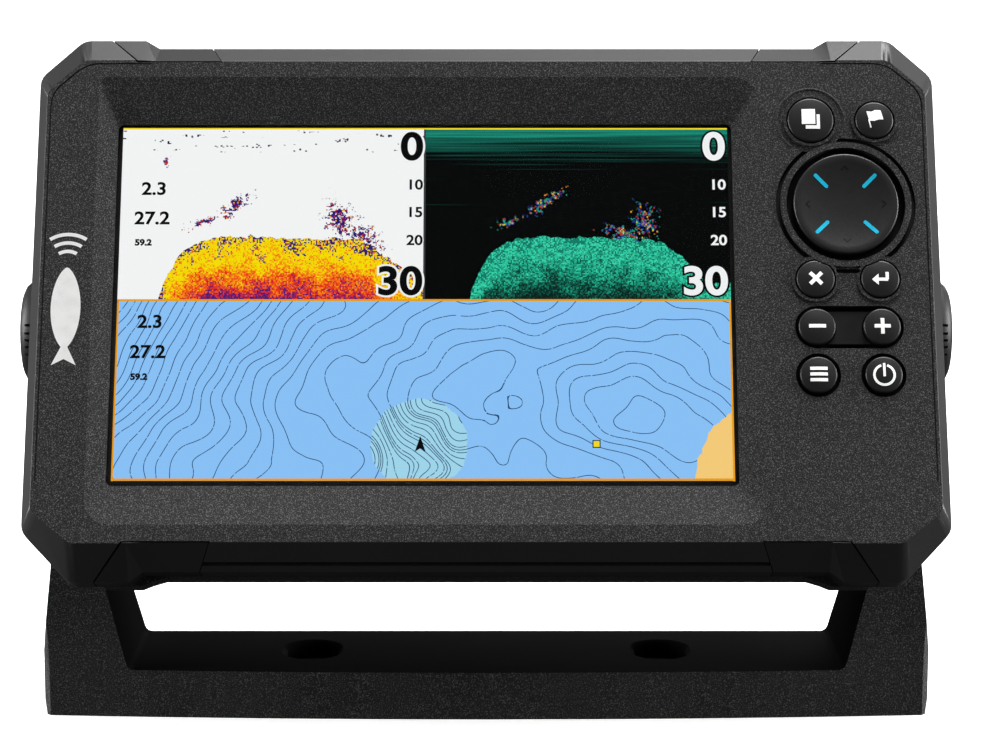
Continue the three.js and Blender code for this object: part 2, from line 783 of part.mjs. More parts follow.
function caseGasket() {
  const outer = headOutline(rim, frameWall + gap);
  const inner = headOutline(rim, frameWall + gap + gasketWidth);
  return prism(outer, gasketBack, gasketFront)
    .subtract(prism(inner, gasketBack - overrun, gasketFront + overrun));
}

addPart(head, 'case_gasket', caseGasket(), rubber);

function caseScrew() {
  const seat = -frameDepth + caseScrewSink;
  return turned([[0, -frameDepth], [caseScrewHead, -frameDepth], [caseScrewHead, seat],
    [caseScrewShank, seat], [caseScrewShank, seat + caseScrewLength],
    [0, seat + caseScrewLength + 1]], 12)
    .subtract(prism(rectangle(-1.7, 1.7, -0.4, 0.4), -frameDepth - overrun, -frameDepth + 0.9))
    .subtract(prism(rectangle(-0.4, 0.4, -1.7, 1.7), -frameDepth - overrun, -frameDepth + 0.9));
}

caseScrews.forEach(([x, y], i) => {
  addPart(head, `case_screw_${i + 1}`, caseScrew(), steel).position.set(x, y, 0);
});

// Rear housing

function housingOutline(insetX, insetY, margin) {
  return rectangle(-housingHalf + insetX + margin, housingHalf - insetX - margin,
    housingBottom + insetY + margin, housingTop - insetY - margin,
    Math.max(housingCorner - margin, 1));
}

function housingShell(margin, front, back) {
  return loft([
    { at: back, points: housingOutline(backInsetX, backInsetY, margin) },
    { at: -housingShoulder, points: housingOutline(0, shoulderDrop, margin) },
    { at: front, points: housingOutline(0, 0, margin) },
  ]);
}

const wellFloor = -housingDepth + wellDepth;
const well = rectangle(-wellWidth / 2, wellWidth / 2, socketY - wellHeight / 2,
  socketY + wellHeight / 2, 6);
const wellLining = rectangle(-wellWidth / 2 - housingWall, wellWidth / 2 + housingWall,
  socketY - wellHeight / 2 - housingWall, socketY + wellHeight / 2 + housingWall, 8);
const doorAxisY = doorY - doorHeight / 2 + doorBarrel;
const doorAxisZ = -housingDepth + doorBarrel;
const doorSeat = -housingDepth + doorThickness + gap;
const socketPlaces = [-socketX, socketX];

function pivotBoss(side) {
  const inner = housingHalf - insertLength - bossWall;
  return alongX(disc(0, 0, insertRadius + bossWall, inner, housingHalf - 1, 24))
    .rotate([0, side > 0 ? 0 : 180, 0])
    .translate([0, pivotY, -pivotDepth]);
}

function pivotBore(side) {
  return alongX(disc(0, 0, insertRadius + gap, housingHalf - insertLength - gap,
    housingHalf + overrun, 24))
    .rotate([0, side > 0 ? 0 : 180, 0])
    .translate([0, pivotY, -pivotDepth]);
}

// Half width between the arms at a level over the base's underside
function betweenArms(level) {
  const share = THREE.MathUtils.clamp((level - baseThickness) / armSplay, 0, 1);
  return THREE.MathUtils.lerp(baseHalf - armFoot, armInner, share);
}

function rearLug(side) {
  const low = rim.bottom - rim.lugBottom + rearLugDrop;
  const lowest = pivotHeight - Math.hypot(pivotY - low, pivotDepth - frameDepth);
  const rearLugOuter = Math.min(housingHalf, betweenArms(lowest)) - rearLugClear;
  const step = rearLugDepth / 2;
  const outline = rounded([[rearLugInner, low + 2.2], [rearLugInner + 4, low + 1],
    [rearLugInner + 6.5, low], [rearLugOuter, low], [rearLugOuter, housingBottom + step],
    [rearLugInner, housingBottom + step]].map(([x, y]) => [side * x, y]));
  const root = rectangle(Math.min(side * rearLugInner, side * rearLugOuter),
    Math.max(side * rearLugInner, side * rearLugOuter),
    rim.bottom + frameWall + gap + 0.5, housingBottom + step);
  return prism(outline, -frameDepth - rearLugDepth, -frameDepth - gap)
    .add(prism(root, -frameDepth - step, flangeFront - overrun));
}

// Lip that carries the frame's foot on backwards: a wall and a web on ribs, open to the back
function rearLip() {
  const front = -frameDepth - gap;
  const back = front - rearLipDepth;
  const reach = rearLugInner + 2;
  const root = rim.bottom + frameWall + gap;
  let lip = prism(rectangle(-reach, reach, rim.bottom, rim.bottom + housingWall), back, front)
    .add(prism(rectangle(-reach, reach, rim.bottom, rim.bottom + rearLipWeb),
      front - housingWall, front))
    .add(prism(rectangle(-reach, reach, root, rim.bottom + rearLipWeb),
      front - housingWall, flangeFront - overrun));
  for (const x of rearLipRibs.flatMap((at) => [-at, at])) {
    lip = lip.add(prism(rectangle(x - rearLipRib / 2, x + rearLipRib / 2, rim.bottom,
      housingBottom + 1), back, front));
  }
  return lip;
}

function rearHousing() {
  let body = prism(headOutline(rim, frameWall + gap), -frameDepth, flangeFront)
    .add(housingShell(0, -frameDepth + 0.5, -housingDepth));
  let hollow = housingShell(housingWall, flangeFront + overrun, -housingDepth + housingWall);
  hollow = hollow.subtract(prism(wellLining, -housingDepth, wellFloor + housingWall));
  const doorBack = doorSeat + housingWall;
  hollow = hollow.subtract(prism(rectangle(doorX - doorWidth / 2 - housingWall,
    doorX + doorWidth / 2 + housingWall, doorY - doorHeight / 2 - 4, doorY + doorHeight / 2 + 3, 2),
  -housingDepth, doorBack));
  for (const side of [-1, 1]) {
    hollow = hollow.subtract(pivotBoss(side));
    body = body.add(rearLug(side));
  }
  body = body.add(rearLip()).subtract(hollow);

  body = body.subtract(prism(well, -housingDepth - overrun, wellFloor));
  for (const x of socketPlaces) {
    body = body.subtract(disc(x, socketY, socketRadius + gap, wellFloor - overrun,
      wellFloor + housingWall + overrun));
  }
  body = body
    .subtract(prism(rectangle(doorX - doorWidth / 2 - gap, doorX + doorWidth / 2 + gap,
      doorAxisY, doorY + doorHeight / 2 + gap), -housingDepth - overrun, doorSeat))
    .subtract(alongX(disc(0, 0, doorBarrel + gap, -doorWidth / 2 - gap, doorWidth / 2 + gap, 20))
      .translate([doorX, doorAxisY, doorAxisZ]))
    .subtract(prism(rectangle(doorX - doorWidth / 2 - gap, doorX + doorWidth / 2 + gap,
      doorAxisY - doorBarrel - gap, doorAxisY), -housingDepth - overrun, doorAxisZ))
    .subtract(alongX(disc(0, 0, doorPinRadius + gap, -doorWidth / 2 - 2.3, doorWidth / 2 + 2.3, 12))
      .translate([doorX, doorAxisY, doorAxisZ]))
    .subtract(prism(rectangle(doorX - cardSlotWidth / 2, doorX + cardSlotWidth / 2,
      doorY - cardSlotHeight / 2, doorY + cardSlotHeight / 2), doorSeat - overrun,
    doorBack + overrun))
    .subtract(disc(ventX, ventY, ventBore, -housingDepth - overrun,
      -housingDepth + housingWall + overrun, 16));
  for (const side of [-1, 1]) {
    body = body.subtract(pivotBore(side));
  }
  for (const [x, y] of caseScrews) {
    body = body
      .subtract(disc(x, y, caseScrewShank + gap, -frameDepth - overrun, flangeFront + overrun, 12))
      .subtract(disc(x, y, caseScrewHead + gap, -frameDepth - overrun, -frameDepth + caseScrewSink + gap,
        16));
  }
  return body;
}

addPart(head, 'rear_housing', rearHousing(), black);

// Sockets in the well

function socket(pinCount) {
  const back = wellFloor + housingWall + gap;
  const mouth = wellFloor - socketLength + housingWall + 1;
  const floor = wellFloor + housingWall;
  let body = disc(0, 0, socketRadius, mouth, back + socketFlangeThickness)
    .add(disc(0, 0, socketFlange, back, back + socketFlangeThickness))
    .subtract(disc(0, 0, socketBore, mouth - overrun, floor));
  for (let i = 0; i < pinCount; i += 1) {
    const angle = 2 * Math.PI * i / pinCount;
    body = body.add(disc(3.4 * Math.cos(angle), 3.4 * Math.sin(angle), pinRadius,
      floor - pinHeight, floor + overrun, 6));
  }
  return body.add(prism(rectangle(-1.2, 1.2, socketBore - 1.2, socketBore + 0.6), mouth + 1,
    floor + overrun));
}

function socketNut() {
  return disc(0, 0, socketNutRadius, wellFloor - gap - socketNutThickness, wellFloor - gap, 6)
    .subtract(disc(0, 0, socketRadius + gap, wellFloor - gap - socketNutThickness - overrun,
      wellFloor, 32));
}

[['power', -socketX, 4], ['sonar', socketX, 7]].forEach(([name, x, pins]) => {
  addPart(head, `${name}_socket`, socket(pins), rubber).position.set(x, socketY, 0);
  addPart(head, `${name}_socket_nut`, socketNut(), satin).position.set(x, socketY, 0);
});

// Card door, its pin and the reader behind it

function cardDoor() {
  const top = doorY + doorHeight / 2 - doorAxisY;
  const front = -doorBarrel + doorThickness;
  return prism(rectangle(-doorWidth / 2, doorWidth / 2, 0, top), -doorBarrel, front)
    .add(alongX(disc(0, 0, doorBarrel, -doorWidth / 2, doorWidth / 2, 20)))
    .subtract(alongX(disc(0, 0, doorPinRadius + gap, -doorWidth / 2 - overrun,
      doorWidth / 2 + overrun, 12)))
    .subtract(prism(rectangle(-5, 5, top - 2.6, top - 1.4), -doorBarrel - overrun,
      -doorBarrel + 0.7));
}

const doorPin = alongX(disc(0, 0, doorPinRadius, -doorWidth / 2 - 2, doorWidth / 2 + 2, 12));
addPart(head, 'card_door', cardDoor(), rubber).position.set(doorX, doorAxisY, doorAxisZ);
addPart(head, 'card_door_pin', doorPin, steel).position.set(doorX, doorAxisY, doorAxisZ);
const readerFront = doorSeat + housingWall + gap;
addPart(head, 'card_reader', prism(rectangle(doorX - 8, doorX + 8, doorY - 2.4, doorY + 2.4, 0.6),
  readerFront, readerFront + 13)
  .subtract(prism(rectangle(doorX - 5.8, doorX + 5.8, doorY - 0.7, doorY + 0.7),
    readerFront - overrun, readerFront + 9)), sheetMetal);

const ventPlug = turned([[0, -housingDepth - 1.5], [4.2, -housingDepth - 1.5],
  [4.6, -housingDepth - gap], [ventBore - gap, -housingDepth - gap],
  [ventBore - gap, -housingDepth + housingWall + 1], [0, -housingDepth + housingWall + 1]]);
addPart(head, 'vent_plug', ventPlug, rubber).position.set(ventX, ventY, 0);

// Tilt axis: on each side a brass insert, a washer, then the bracket's arm and the clamp knob

const knobSeat = armOuter + gap;
const knobRoof = 5;
const studEnd = housingHalf - insertLength + 2.4;
const studHole = studRadius + gap;

function clampKnob() {
  const foot = knobRadius;
  const waist = knobRadius - knobTaper;
  let body = turned([[0, knobHeight - knobRoof], [studHole, knobHeight - knobRoof], [studHole, 0],
    [foot - 1, 0], [foot, 1], [foot, knobFlange], [waist, knobFlange + 1.2],
    [waist - 0.9, knobHeight * 0.68], [waist - 2.6, knobHeight * 0.88],
    [waist * 0.5, knobHeight - 0.3], [0, knobHeight]], 32);
  for (let quarter = 0; quarter < 4; quarter += 1) {
    for (let i = 0; i < knobRibs; i += 1) {
      const angle = quarter * Math.PI / 2 + (i - (knobRibs - 1) / 2) * knobRibPitch;
      const cut = prism(rectangle(waist - knobRibDepth - 0.6, knobRadius + overrun,
        -knobRibWidth / 2, knobRibWidth / 2), knobFlange + 1.6, knobHeight * 0.8);
      body = body.subtract(cut.rotate([0, 0, THREE.MathUtils.radToDeg(angle)]));
    }
  }
  return body;
}

const knobParts = {
  clamp_knob: [clampKnob(), knobSeat, rubber],
  knob_stud: [disc(0, 0, studRadius, studEnd, knobSeat + knobHeight - knobRoof - gap, 16), 0,
    steel],
  pivot_washer: [ring(0, 0, studHole + 0.4, washerRadius, 0, washerThickness, 28), washerInner,
    rubber],
  pivot_insert: [ring(0, 0, studHole, insertRadius, 0, insertLength - gap, 20),
    housingHalf - insertLength, brass],
};

for (const [side, sideName] of [[-1, 'left'], [1, 'right']]) {
  for (const [name, [body, from, finish]] of Object.entries(knobParts)) {
    const turnedBody = alongX(body.translate([0, 0, from])).rotate([0, side > 0 ? 0 : 180, 0]);
    addPart(headFrame, `${sideName}_${name}`, turnedBody, finish);
  }
}

// Bracket, made lying along its own axes and then stood up

function uprightProfile() {
  const lean = armInset / (pivotHeight - plinth);
  const topLevel = pivotHeight + armTop + overrun;
  const outerAt = (level) => baseHalf - lean * (level - plinth);
  const right = [
    [baseHalf - baseToe, 0],
    [baseHalf, 4],
    [baseHalf, plinth],
    [outerAt(topLevel), topLevel],
    [armInner, topLevel],
    [armInner, baseThickness + armSplay],
    [baseHalf - armFoot, baseThickness, 2],
  ];
  const left = right.map(([x, y, radius]) => [-x, y, radius]).reverse();
  return rounded([...right, ...left]);
}

function sideProfile() {
  const half = baseDepth / 2;
  const front = half + baseBow;
  const waistLevel = pivotHeight - armWaist;
  const arc = [];
  for (let i = 0; i <= 12; i += 1) {
    const angle = Math.PI * i / 12;
    arc.push([armTop * Math.cos(angle), pivotHeight + armTop * Math.sin(angle)]);
  }
  return rounded([[-front, 0], [half, 0], [half, plinth], [armTop + 0.5, waistLevel], ...arc,
    [-armTop - 0.5, waistLevel], [-half, plinth], [-front, baseThickness + overrun]]);
}

function planOutline() {
  const half = baseDepth / 2;
  const front = [];
  for (let i = 0; i <= 16; i += 1) {
    const x = (i / 8 - 1) * (baseHalf - edgeCut);
    const along = x / baseHalf;
    front.push([x, -half - baseBow * (1 - along * along)]);
  }
  return rounded([...front, [baseHalf, -half + edgeCut], [baseHalf, half - edgeCut],
    [baseHalf - edgeCut, half], [-baseHalf + edgeCut, half], [-baseHalf, half - edgeCut],
    [-baseHalf, -half + edgeCut]]);
}

function bracket() {
  const long = baseHalf + overrun;
  const deep = baseDepth;
  const side = prism(sideProfile(), -long, long).rotate([90, 0, 90]);
  let body = prism(uprightProfile(), -deep, deep).rotate([90, 0, 0])
    .intersect(side)
    .intersect(prism(planOutline(), -overrun, pivotHeight + armTop + overrun));
  for (const x of [-slotX, slotX]) {
    const through = rectangle(x - slotWidth / 2, x + slotWidth / 2, -slotLength / 2,
      slotLength / 2, slotWidth / 2 - 0.1, 6);
    const mouth = rectangle(x - rimWidth / 2, x + rimWidth / 2, -rimLength / 2, rimLength / 2,
      rimWidth / 2 - 0.1, 6);
    const seat = rectangle(x - rimWidth / 2 + 1.2, x + rimWidth / 2 - 1.2, -rimLength / 2 + 1.2,
      rimLength / 2 - 1.2, rimWidth / 2 - 1.3, 6);
    body = body.subtract(prism(through, -overrun, baseThickness + overrun))
      .subtract(loft([
        { at: baseThickness - rimSink, points: seat },
        { at: baseThickness - 1.2, points: seat },
        { at: baseThickness, points: mouth },
        { at: baseThickness + overrun, points: mouth },
      ]));
    for (const step of [-1, 1]) {
      const middle = x + step * (rimWidth / 2 + pocketRib + pocketWidth / 2);
      body = body.subtract(prism(rectangle(middle - pocketWidth / 2, middle + pocketWidth / 2,
        -pocketLength / 2, pocketLength / 2, 2), -overrun, baseThickness - pocketRoof));
    }
  }
  for (const turn of [0, 180]) {
    const seatCut = alongX(disc(0, 0, knobRadius + 0.6, armOuter, baseHalf + overrun, 40));
    const bore = alongX(disc(0, 0, studRadius + 0.8, armInner - overrun, armOuter + overrun, 20));
    body = body.subtract(seatCut.add(bore).rotate([0, turn, 0]).translate([0, 0, pivotHeight]));
  }
  return body;
}

addPart(bracketGroup, 'mounting_bracket', bracket(), black);

export default group;
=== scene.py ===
# Fish finder on a tilting bracket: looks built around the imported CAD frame. Metres, +Z up.
# Pieces of the head are modelled lying flat in millimetres, then placed by headPlace.
import json
import math

import bmesh
import bpy
from mathutils import Matrix, Vector, noise


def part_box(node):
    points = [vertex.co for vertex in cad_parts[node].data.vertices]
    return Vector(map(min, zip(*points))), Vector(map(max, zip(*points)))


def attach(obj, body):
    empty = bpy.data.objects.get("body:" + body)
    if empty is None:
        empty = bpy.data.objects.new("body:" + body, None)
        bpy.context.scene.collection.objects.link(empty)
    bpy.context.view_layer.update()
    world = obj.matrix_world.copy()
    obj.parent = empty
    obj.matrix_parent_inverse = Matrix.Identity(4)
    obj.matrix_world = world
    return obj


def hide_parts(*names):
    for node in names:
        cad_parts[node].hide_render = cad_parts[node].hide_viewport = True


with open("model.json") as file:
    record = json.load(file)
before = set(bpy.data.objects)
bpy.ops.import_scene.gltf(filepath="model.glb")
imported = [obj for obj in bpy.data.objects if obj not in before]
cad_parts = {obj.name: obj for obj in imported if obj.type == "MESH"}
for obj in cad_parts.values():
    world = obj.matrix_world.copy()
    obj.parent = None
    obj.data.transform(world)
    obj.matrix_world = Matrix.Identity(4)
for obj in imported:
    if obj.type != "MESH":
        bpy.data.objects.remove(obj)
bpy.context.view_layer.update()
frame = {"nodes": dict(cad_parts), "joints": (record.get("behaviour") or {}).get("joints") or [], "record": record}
scene = bpy.context.scene
scene.view_settings.view_transform = "Standard"
mm = 0.001
print("frame loaded:", len(frame["nodes"]), "nodes")

# places

headPose = {
    "leanBack": 24,  # degrees that the screen leans back
    "pivotBehindFace": 32,  # mm from the front face back to the tilt axis
    "pivotAboveMiddle": 0.5,
}
tiltAxis = next(joint for joint in frame["joints"] if joint["name"] == "head_tilt")
headPlace = (
    Matrix.Translation(Vector(tiltAxis["pos_m"]))
    @ Matrix.Rotation(math.radians(90 - headPose["leanBack"]), 4, "X")
    @ Matrix.Diagonal((mm, mm, mm, 1))
    @ Matrix.Translation((0, -headPose["pivotAboveMiddle"], headPose["pivotBehindFace"]))
)
toHead = headPlace.inverted()


def headBox(node):  # lowest and highest corner of a CAD node in the head's own millimetres
    points = [toHead @ vert.co for vert in frame["nodes"][node].data.vertices]
    low = Vector([min(point[axis] for point in points) for axis in range(3)])
    high = Vector([max(point[axis] for point in points) for axis in range(3)])
    return low, high


def headCentre(node):
    low, high = headBox(node)
    return (low + high) / 2


# camera, light and floor

shot = {
    "lens": 96.4,  # mm on a 36 mm sensor
    "spot": (0, -0.6884, 0.2003),
    "lookDown": 9.4,  # degrees
    "shiftX": 0.0137,
}
cameraData = bpy.data.cameras.new("camera")
cameraData.lens = shot["lens"]
cameraData.sensor_width = 36
cameraData.shift_x = shot["shiftX"]
cameraData.clip_start = 0.01
camera = bpy.data.objects.new("camera", cameraData)
camera.location = shot["spot"]
camera.rotation_euler = (math.radians(90 - shot["lookDown"]), 0, 0)
scene.collection.objects.link(camera)
bpy.context.scene.camera = camera


def addSoftbox(name, spot, aim, width, height, power):
    data = bpy.data.lights.new(name, "AREA")
    data.shape = "RECTANGLE"
    data.size, data.size_y = width, height
    data.energy = power
    light = bpy.data.objects.new(name, data)
    light.location = spot
    light.rotation_euler = (Vector(aim) - Vector(spot)).to_track_quat("-Z", "Y").to_euler()
    light.visible_camera = False
    scene.collection.objects.link(light)


softboxes = {  # place, what it is aimed at, width, height in metres, watts
    "right": ((1.45, -0.05, 0.45), (0, 0, 0.1), 0.7, 0.7, 28.0),
    "left": ((-1.45, -0.05, 0.45), (0, 0, 0.1), 0.7, 0.7, 26.0),
    "behind": ((0.4, 1.5, 0.5), (0, 0, 0.12), 0.9, 0.6, 6.0),
}
for name, (spot, aim, width, height, power) in softboxes.items():
    addSoftbox(name + "_softbox", spot, aim, width, height, power)

silk = {"energy": 5.2, "spread": 36, "tilt": (-12, 8, 0)}  # a wide silk nearly straight above
silkData = bpy.data.lights.new("overhead_silk", "SUN")
silkData.energy = silk["energy"]
silkData.angle = math.radians(silk["spread"])
silkLight = bpy.data.objects.new("overhead_silk", silkData)
silkLight.rotation_euler = [math.radians(turn) for turn in silk["tilt"]]
scene.collection.objects.link(silkLight)


def linear(hexColour):  # sRGB hex to linear RGBA
    channels = [int(hexColour[i:i + 2], 16) / 255 for i in (1, 3, 5)]
    return [c / 12.92 if c <= 0.04045 else ((c + 0.055) / 1.055) ** 2.4 for c in channels] + [1]


def addNode(tree, kind, inputs=None, stops=(), steps=False, **settings):  # stops: a ramp's colours
    node = tree.nodes.new(kind)
    for key, value in settings.items():
        setattr(node, key, value)
    for key, value in (inputs or {}).items():
        if isinstance(value, bpy.types.Node):
            value = value.outputs[0]
        if isinstance(value, bpy.types.NodeSocket):
            tree.links.new(value, node.inputs[key])
        else:
            node.inputs[key].default_value = value
    if stops:
        ramp = node.color_ramp
        ramp.interpolation = "CONSTANT" if steps else "LINEAR"
        while len(ramp.elements) < len(stops):
            ramp.elements.new(0.5)
        for element, (position, hexColour) in zip(ramp.elements, stops):
            element.position = position
            element.color = linear(hexColour)
    return node


def startMaterial(name):  # also gives the place on the piece, in metres
    material = bpy.data.materials.new(name)
    material.use_nodes = True
    tree = material.node_tree
    tree.nodes.clear()
    shader = addNode(tree, "ShaderNodeBsdfPrincipled")
    addNode(tree, "ShaderNodeOutputMaterial", {"Surface": shader})
    spot = addNode(tree, "ShaderNodeTexCoord").outputs["Object"]
    return material, tree, shader, spot


studio = {
    "ambient": 0.11,
    "floorSize": 40,  # metres, past every edge of the view
    "floorGlow": 0.65,  # a lit sweep: the shadow stays pale
}
world = bpy.data.worlds.new("studio")
world.use_nodes = True
background = world.node_tree.nodes["Background"]
background.inputs["Color"].default_value = linear("#f4f5f6")
background.inputs["Strength"].default_value = studio["ambient"]
scene.world = world

bm = bmesh.new()
bmesh.ops.create_grid(bm, x_segments=2, y_segments=2, size=studio["floorSize"])
floorMesh = bpy.data.meshes.new("floor")
bm.to_mesh(floorMesh)
bm.free()
floor = bpy.data.objects.new("floor", floorMesh)
scene.collection.objects.link(floor)
floor.visible_diffuse = False  # the set is flagged off below, so the undersides stay dark
floor.visible_glossy = False
paper, tree, shader, spot = startMaterial("palePaperSweep")  # matt seamless paper
shade = addNode(tree, "ShaderNodeTexNoise", {"Vector": spot, "Scale": 3.0})
tint = addNode(tree, "ShaderNodeValToRGB", {"Fac": shade}, [(0.3, "#efefee"), (0.7, "#f3f3f2")])
tree.links.new(tint.outputs["Color"], shader.inputs["Base Color"])
shader.inputs["Roughness"].default_value = 0.9
shader.inputs["Emission Color"].default_value = linear("#ffffff")
shader.inputs["Emission Strength"].default_value = studio["floorGlow"]
floorMesh.materials.append(paper)
print("stage ready")

# materials


def grainy(name, finish):  # a moulded surface: a ground colour with paler specks, and a fine bump
    material, tree, shader, spot = startMaterial(name)
    fine = addNode(tree, "ShaderNodeTexNoise", {
        "Vector": spot, "Scale": 1 / (finish["grain"] * mm), "Detail": 2.0, "Roughness": 0.6})
    broad = addNode(tree, "ShaderNodeTexNoise", {
        "Vector": spot, "Scale": 1 / (finish["cloud"] * mm), "Detail": 3.0})
    ground = addNode(tree, "ShaderNodeValToRGB", {"Fac": broad},
                     [(0.35, finish["dark"]), (0.65, finish["base"])])
    specks = addNode(tree, "ShaderNodeMapRange", {
        "Value": fine, "From Min": finish["from"], "From Max": finish["from"] + 0.12})
    colour = addNode(tree, "ShaderNodeMix", {
        "Factor": specks, "A": ground, "B": linear(finish["speck"])}, data_type="RGBA").outputs[2]
    rough = addNode(tree, "ShaderNodeMapRange", {
        "Value": fine, "From Min": 0.3, "From Max": 0.7,
        "To Min": finish["rough"] - 0.06, "To Max": finish["rough"] + 0.06})
    bump = addNode(tree, "ShaderNodeBump", {
        "Height": fine, "Strength": finish["bump"], "Distance": finish["grain"] * 0.2 * mm})
    tree.links.new(colour, shader.inputs["Base Color"])
    tree.links.new(rough.outputs["Result"], shader.inputs["Roughness"])
    tree.links.new(bump.outputs["Normal"], shader.inputs["Normal"])
    shader.inputs["IOR"].default_value = finish.get("ior", 1.5)
    shader.inputs["Metallic"].default_value = finish.get("metallic", 0.0)
    if "glow" in finish:  # lit from behind, except the printed mark's ink, whose glow is painted light
        tree.links.new(colour, shader.inputs["Emission Color"])
        shader.inputs["Emission Strength"].default_value = finish["glow"]
    return material


# grain and cloud are in mm: the width of a speck, and of the slow drift from dark to base
finishes = {
    # spark-eroded ABS: matt charcoal with a fine sandy grain; the real 0.15 mm grit is drawn at 0.27 mm
    "sparkErodedAbs": {"dark": "#1a1a1a", "base": "#1e1e1e", "speck": "#6e6e6e", "grain": 0.27,
                       "cloud": 30, "from": 0.53, "rough": 0.72, "bump": 0.7, "ior": 1.38},
    # the frame's slopes are polished smoother than its face
    "polishedSlopeAbs": {"dark": "#242424", "base": "#282828", "speck": "#363636", "grain": 0.3,
                         "cloud": 25, "from": 0.58, "rough": 0.45, "bump": 0.1},
    # painted shade: the walls and floors of the slots round the keys, under the frame and at the glass, and of the
    # face's grooves, are coloured near black for the shade that falls in them
    "slotPaintedShadeAbs": {"dark": "#060606", "base": "#080808", "speck": "#0d0d0d", "grain": 0.3,
                     "cloud": 9, "from": 0.6, "rough": 0.8, "bump": 0.1},
    # the bracket's nylon has the same grain, a shade blacker
    "grainedNylon": {"dark": "#1c1c1c", "base": "#292929", "speck": "#7e7e7e", "grain": 0.3,
                     "cloud": 30, "from": 0.54, "rough": 0.6, "bump": 0.4},
    # its inner faces, the top of its base and its screw slots are smooth, and are coloured near black as painted
    # shade for the shade under the head and between the arms
    "smoothNylonPaintedShade": {"dark": "#0a0a0a", "base": "#0c0c0c", "speck": "#111111", "grain": 0.3,
                    "cloud": 25, "from": 0.6, "rough": 0.85, "bump": 0.06, "ior": 1.05},
    # smooth-moulded satin ABS of the corner trims
    "satinAbs": {"dark": "#1b1b1b", "base": "#1f1f1f", "speck": "#262626", "grain": 0.2,
                 "cloud": 12, "from": 0.6, "rough": 0.4, "bump": 0.06},
    # silicone keys under a satin coat: smooth, charcoal, soft broad highlights
    "coatedSilicone": {"dark": "#1b1b1c", "base": "#1f1f20", "speck": "#272728", "grain": 0.25,
                       "cloud": 6, "from": 0.6, "rough": 0.42, "bump": 0.08},
    # soft black rubber of seals, caps and the door
    "sealRubber": {"dark": "#0e0e0f", "base": "#131314", "speck": "#1c1c1d", "grain": 0.3,
                   "cloud": 8, "from": 0.6, "rough": 0.75, "bump": 0.2},
    # glass-filled nylon of the knobs and sockets
    "glassFilledNylon": {"dark": "#121213", "base": "#161617", "speck": "#232324", "grain": 0.3,
                         "cloud": 9, "from": 0.6, "rough": 0.5, "bump": 0.2},
    # turned brass insert, faint tool marks
    "turnedBrass": {"dark": "#a8873f", "base": "#b9974c", "speck": "#cbab5e", "grain": 0.15,
                    "cloud": 4, "from": 0.6, "rough": 0.32, "bump": 0.1, "metallic": 1.0},
    # zinc-plated steel screws and studs
    "platedSteel": {"dark": "#9a9da0", "base": "#aeb1b4", "speck": "#c2c4c6", "grain": 0.15,
                    "cloud": 4, "from": 0.6, "rough": 0.3, "bump": 0.08, "metallic": 1.0},
    # tinned steel sheet of the shield and chassis
    "tinnedSheet": {"dark": "#8d9093", "base": "#9fa2a5", "speck": "#b5b7b9", "grain": 0.5,
                    "cloud": 15, "from": 0.6, "rough": 0.38, "bump": 0.08, "metallic": 1.0},
    # fibreglass board under green solder mask
    "solderMaskBoard": {"dark": "#0d4a28", "base": "#125a33", "speck": "#1b6b40", "grain": 0.6,
                        "cloud": 10, "from": 0.6, "rough": 0.4, "bump": 0.15},
    # amber polyimide film
    "polyimideFilm": {"dark": "#a5621c", "base": "#b97529", "speck": "#c88a3e", "grain": 0.4,
                      "cloud": 8, "from": 0.6, "rough": 0.3, "bump": 0.05},
    # fired ceramic of the aerial
    "firedCeramic": {"dark": "#b7a274", "base": "#c8b485", "speck": "#d8c89e", "grain": 0.3,
                     "cloud": 5, "from": 0.6, "rough": 0.6, "bump": 0.15},
    # white reflector of the backlight
    "whitePolycarbonate": {"dark": "#dcdcda", "base": "#e6e6e4", "speck": "#f0f0ee", "grain": 0.4,
                           "cloud": 20, "from": 0.6, "rough": 0.5, "bump": 0.05},
    # pad-printed pale ink of the mark on the face; its glow is painted light that makes it brighter than the lamps
    # do
    "whiteInkPaintedGlow": {"dark": "#dededd", "base": "#e8e8e7", "speck": "#f2f2f1", "grain": 0.2,
                 "cloud": 3, "from": 0.6, "rough": 0.45, "bump": 0.05, "glow": 0.25},
    # laser-etched icons, lit from behind
    "backlitInk": {"dark": "#e4e4e2", "base": "#eeeeec", "speck": "#f6f6f4", "grain": 0.2,
                   "cloud": 3, "from": 0.6, "rough": 0.45, "bump": 0.05, "glow": 0.6},
    # moulded-in pale blue light pipes
    "blueLightPipe": {"dark": "#10a4c6", "base": "#18b0d2", "speck": "#3cc4e0", "grain": 0.2,
                      "cloud": 2, "from": 0.6, "rough": 0.35, "bump": 0.05, "glow": 0.4},
    # black paint behind the glass
    "blackMaskInk": {"dark": "#030303", "base": "#050505", "speck": "#080808", "grain": 0.3,
                     "cloud": 9, "from": 0.6, "rough": 0.4, "bump": 0.02},
}
materials = {name: grainy(name, finish) for name, finish in finishes.items()}

# clear coated cover glass: almost no tint, a thin cool reflection
coverGlass, tree, shader, spot = startMaterial("coatedCoverGlass")
smear = addNode(tree, "ShaderNodeTexNoise", {"Vector": spot, "Scale": 60.0, "Detail": 2.0})
polish = addNode(tree, "ShaderNodeMapRange", {"Value": smear, "To Min": 0.02, "To Max": 0.06})
tree.links.new(polish.outputs["Result"], shader.inputs["Roughness"])
shader.inputs["Base Color"].default_value = linear("#fbfdfd")
shader.inputs["Transmission Weight"].default_value = 1.0
shader.inputs["IOR"].default_value = 1.25
materials["coatedCoverGlass"] = coverGlass
print("materials ready:", len(materials))

